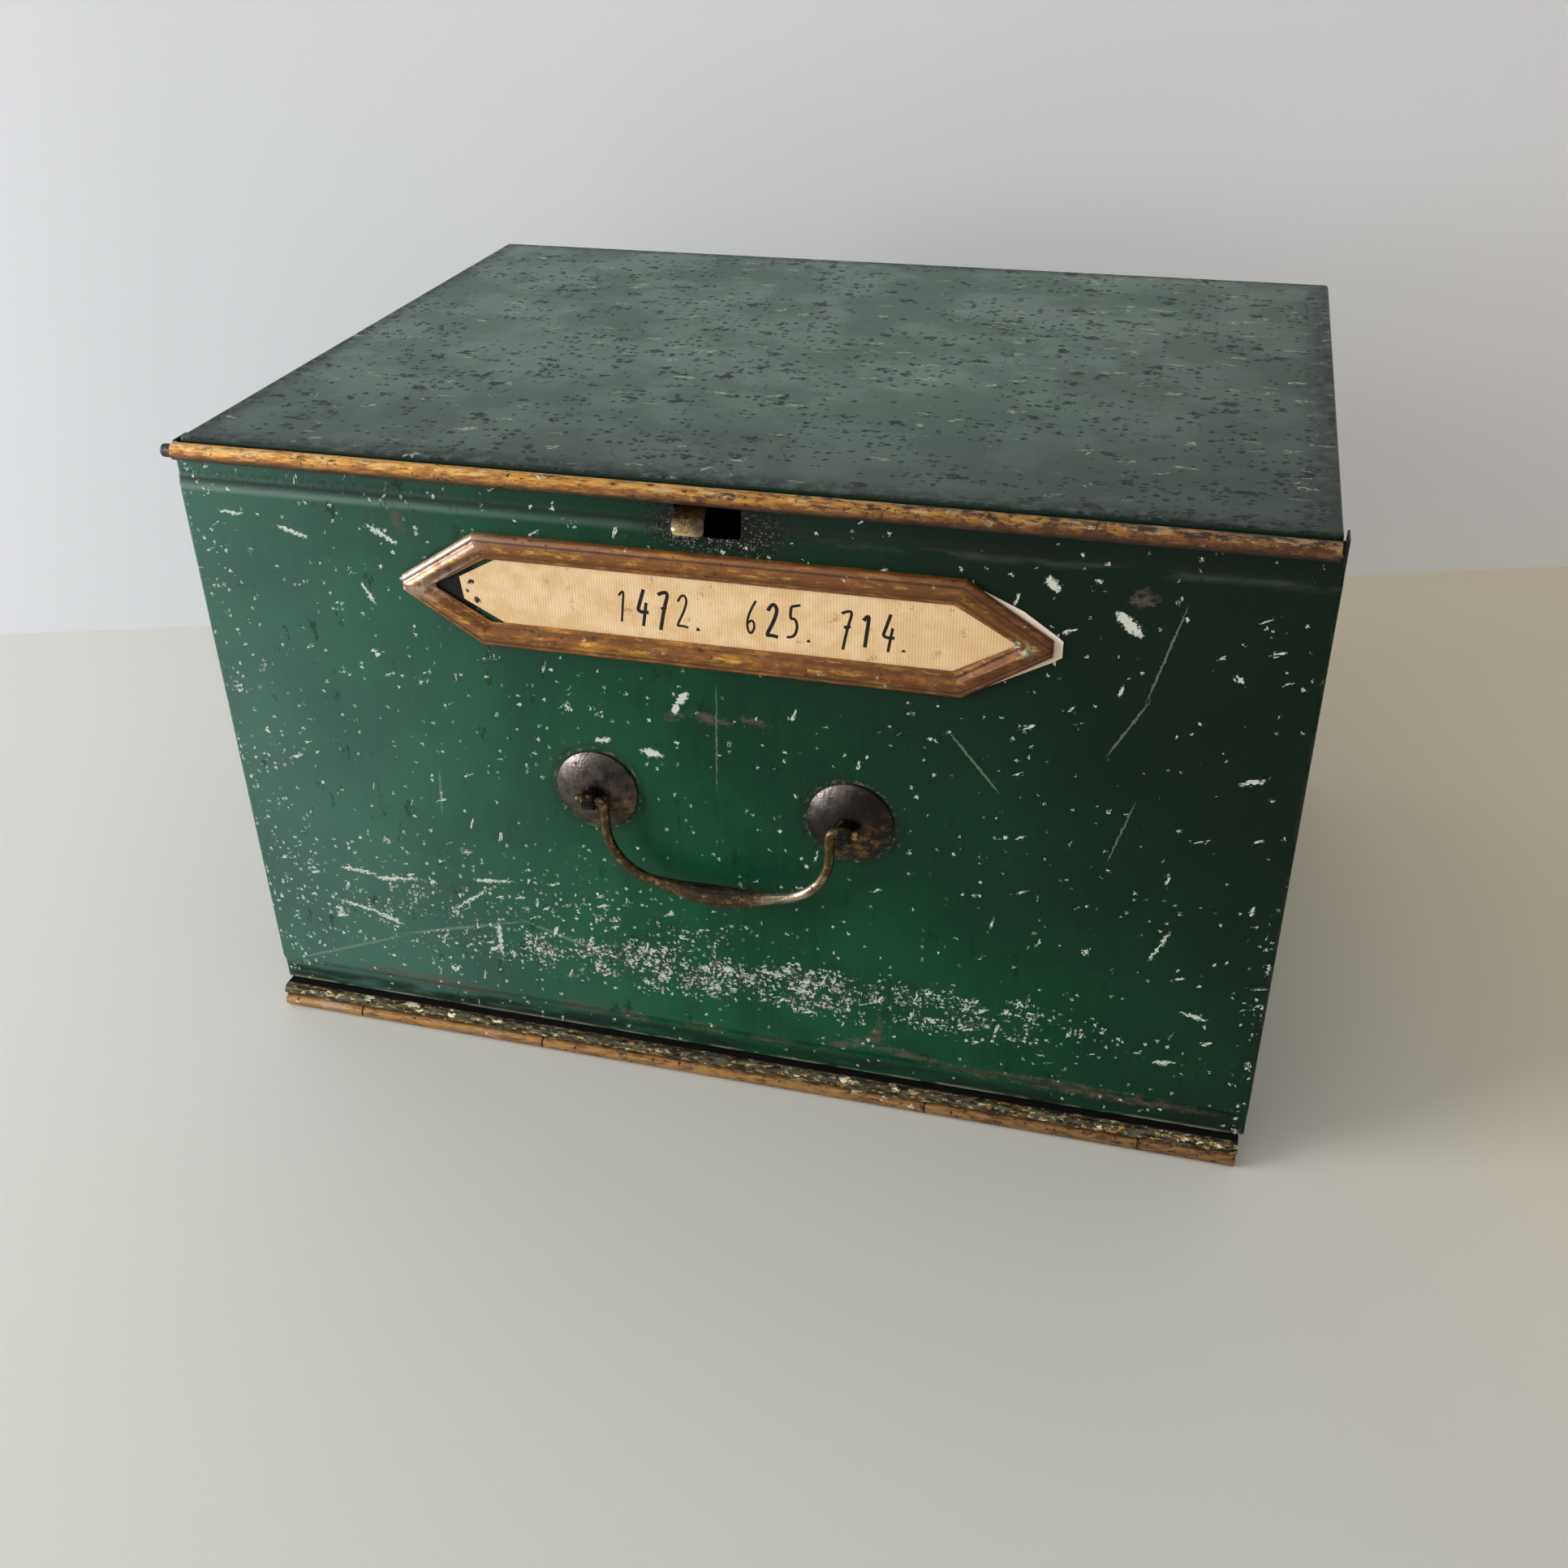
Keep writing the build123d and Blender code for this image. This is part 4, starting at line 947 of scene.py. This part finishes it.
# Pen strokes of the figures, in a cell 1 wide and 1.6 high; each figure is one or two strokes.
FIGURES = {
    "1": [((0.12, 1.2), (0.48, 1.6), (0.42, 0.8), (0.36, 0.0))],
    "2": [((0.05, 1.2), (0.3, 1.6), (0.72, 1.35), (0.5, 0.75), (0.0, 0.05), (0.35, 0.12), (0.85, 0.05))],
    "4": [((0.45, 1.6), (0.2, 0.95), (0.02, 0.5), (0.85, 0.56)), ((0.66, 1.0), (0.58, 0.5), (0.5, -0.1))],
    "5": [
        ((0.2, 1.5), (0.12, 0.9), (0.5, 1.0), (0.74, 0.6), (0.5, 0.08), (0.02, 0.1)),
        ((0.2, 1.5), (0.8, 1.6)),
    ],
    "6": [((0.62, 1.6), (0.22, 1.1), (0.05, 0.45), (0.35, 0.0), (0.68, 0.4), (0.4, 0.8), (0.1, 0.5))],
    "7": [((0.05, 1.42), (0.35, 1.55), (0.8, 1.55), (0.5, 0.8), (0.32, -0.2)), ((0.28, 0.8), (0.72, 0.88))],
    ".": [((0.0, 0.03), (0.12, 0.0), (0.2, 0.04))],
}
FIGURE_HEIGHT = 8.6         # of one unit of the cell
FIGURE_WIDTH = 0.62 * FIGURE_HEIGHT
PEN_LEAN = 0.12
FIGURE_STEP = 7.6
FIGURE_START = -37.0
FIGURE_FOOT = LABEL_Z - 7.2
PEN_RADIUS = 0.62
INK_FILM = 0.02             # thickness of the dried ink


def write_figures(text, start, foot):
    """Handwritten figures as one flat curve, made a mesh and laid on the card's face."""
    curve = bpy.data.curves.new("figures", "CURVE")
    curve.dimensions = "3D"
    curve.bevel_depth = PEN_RADIUS * MM
    curve.bevel_resolution = 2
    curve.use_fill_caps = True
    pen = start
    for place, figure in enumerate(text):
        if figure == " ":
            pen += 0.9 * FIGURE_STEP
            continue
        for stroke in FIGURES[figure]:
            line = curve.splines.new("NURBS")
            line.points.add(len(stroke) - 1)
            for point, (x, z) in zip(line.points, stroke):
                across = pen + (x + PEN_LEAN * z) * FIGURE_WIDTH
                point.co = (across * MM, 0, (foot + z * FIGURE_HEIGHT) * MM, 1)
                point.radius = 0.75 + 0.4 * ((place * 3 + len(stroke)) % 4) / 3
            line.order_u = 3
            line.use_endpoint_u = True
            line.resolution_u = 6
        pen += FIGURE_STEP * (0.6 if figure == "." else 1.0)
    written = bpy.data.objects.new("figures_curve", curve)
    mesh = bpy.data.meshes.new_from_object(written)
    bpy.data.objects.remove(written)
    mesh.transform(Matrix.Diagonal((1, INK_FILM / PEN_RADIUS, 1, 1)))
    mesh.transform(Matrix.Translation((0, CARD_FRONT * MM, 0)))
    return mesh


ink = bpy.data.objects.new("label_figures", write_figures("1472.  625. 714.", FIGURE_START, FIGURE_FOOT))
bpy.context.scene.collection.objects.link(ink)
ink.data.materials.clear()
ink.data.materials.append(ink_finish())
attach(ink, "card")


# ================================================================ floor, wall, camera and light
WALL_POINT = (-0.5291, 0.1537)      # a point of the line where wall and floor meet
WALL_TURN = radians(19.1)
STAGE_SIZE = 9.0


def stage_finish(name, colours, direction, start, end, roughness):
    """Plain emulsion paint: pale and matt, with painted light that goes softly from one tone to another
    along a direction.
    """
    material, place = start_material(name)
    tree = material.node_tree
    level = ramp(along(place, direction), start, end)
    colour = node("Mix", {0: level, 6: linear(colours[0]), 7: linear(colours[1])}, out=2, data_type="RGBA")
    shader = tree.nodes["Principled BSDF"]
    tree.links.new(colour, shader.inputs["Base Color"])
    shader.inputs["Roughness"].default_value = roughness
    behind = node("NewGeometry", {}, out=6, tree=tree)
    clear = node("BsdfTransparent", {}, tree=tree)
    seen = node("MixShader", {0: behind, 1: shader.outputs[0], 2: clear})
    tree.links.new(seen, tree.nodes["Material Output"].inputs["Surface"])
    return material


def stage_sheet(name, material, place, turn=None):
    """A large flat sheet for the box to stand on or in front of."""
    mesh = bpy.data.meshes.new(name)
    shape = bmesh.new()
    bmesh.ops.create_grid(shape, x_segments=1, y_segments=1, size=STAGE_SIZE / 2)
    if turn is not None:
        bmesh.ops.rotate(shape, verts=shape.verts, matrix=Euler((radians(90), 0, turn)).to_matrix())
    bmesh.ops.translate(shape, verts=shape.verts, vec=place)
    shape.to_mesh(mesh)
    shape.free()
    sheet = bpy.data.objects.new(name, mesh)
    mesh.materials.append(material)
    bpy.context.scene.collection.objects.link(sheet)


# painted light: the floor grows lighter and warmer towards the right and the back, where the box's shadow
# falls
floor_paint = stage_finish("pale_floor_paint", ("#c8c7c1", "#d9d0ba"), (1, 0.8, 0), 0, 380, 0.5)
# painted shade: the wall is darker on the left, where the window lamp lights it most
wall_paint = stage_finish("pale_wall_paint", ("#d7d8dd", "#f1f1f6"), RIGHT, -450, 0, 0.8)
stage_sheet("floor", floor_paint, (0, 0, 0))
stage_sheet("wall", wall_paint, (*WALL_POINT, 0), WALL_TURN)

CAMERA_PLACE = Vector((0.16396, -0.65591, 0.46452))
CAMERA_AIM = Vector((0.02491, -0.15710, 0.14683))
CAMERA_ROLL = radians(-1.0)
CAMERA_LENS = 37.16

camera_data = bpy.data.cameras.new("camera")
camera_data.sensor_width = 36
camera_data.lens = CAMERA_LENS
camera = bpy.data.objects.new("camera", camera_data)
bpy.context.scene.collection.objects.link(camera)
gaze = (CAMERA_AIM - CAMERA_PLACE).to_track_quat("-Z", "Y").to_matrix().to_4x4()
camera.matrix_world = Matrix.Translation(CAMERA_PLACE) @ gaze @ Matrix.Rotation(CAMERA_ROLL, 4, "Z")
bpy.context.scene.camera = camera


def window_light(name, place, aim, size, power, colour):
    """A large soft light that shines like a window."""
    lamp = bpy.data.lights.new(name, "AREA")
    lamp.shape = "RECTANGLE"
    lamp.size, lamp.size_y = size
    lamp.energy = power
    lamp.color = colour
    hung = bpy.data.objects.new(name, lamp)
    bpy.context.scene.collection.objects.link(hung)
    hung.location = place
    hung.rotation_euler = (Vector(aim) - Vector(place)).to_track_quat("-Z", "Y").to_euler()
    hung.visible_camera = False


WINDOW_PLACE = (-1.9, -1.0, 0.66)
WINDOW_AIM = (0, 0, 0.1)
WINDOW_SIZE = (1.2, 1.0)
WINDOW_POWER = 54
DAYLIGHT = (0.97, 0.99, 1.0)
window_light("window", WINDOW_PLACE, WINDOW_AIM, WINDOW_SIZE, WINDOW_POWER, DAYLIGHT)

world = bpy.data.worlds.new("room")
bpy.context.scene.world = world
world.use_nodes = True
room = world.node_tree
# the soft light of the room comes mostly from the window's side and from above
towards = along(node("TexCoord", {}, tree=room), (-0.8, 0.1, 0.6))
level = ramp(towards, -0.7, 0.9, 0.37, 0.94)
room.links.new(level, room.nodes["Background"].inputs["Strength"])
room.nodes["Background"].inputs["Color"].default_value = linear("#f6f4f0")

bpy.context.scene.view_settings.view_transform = "Standard"
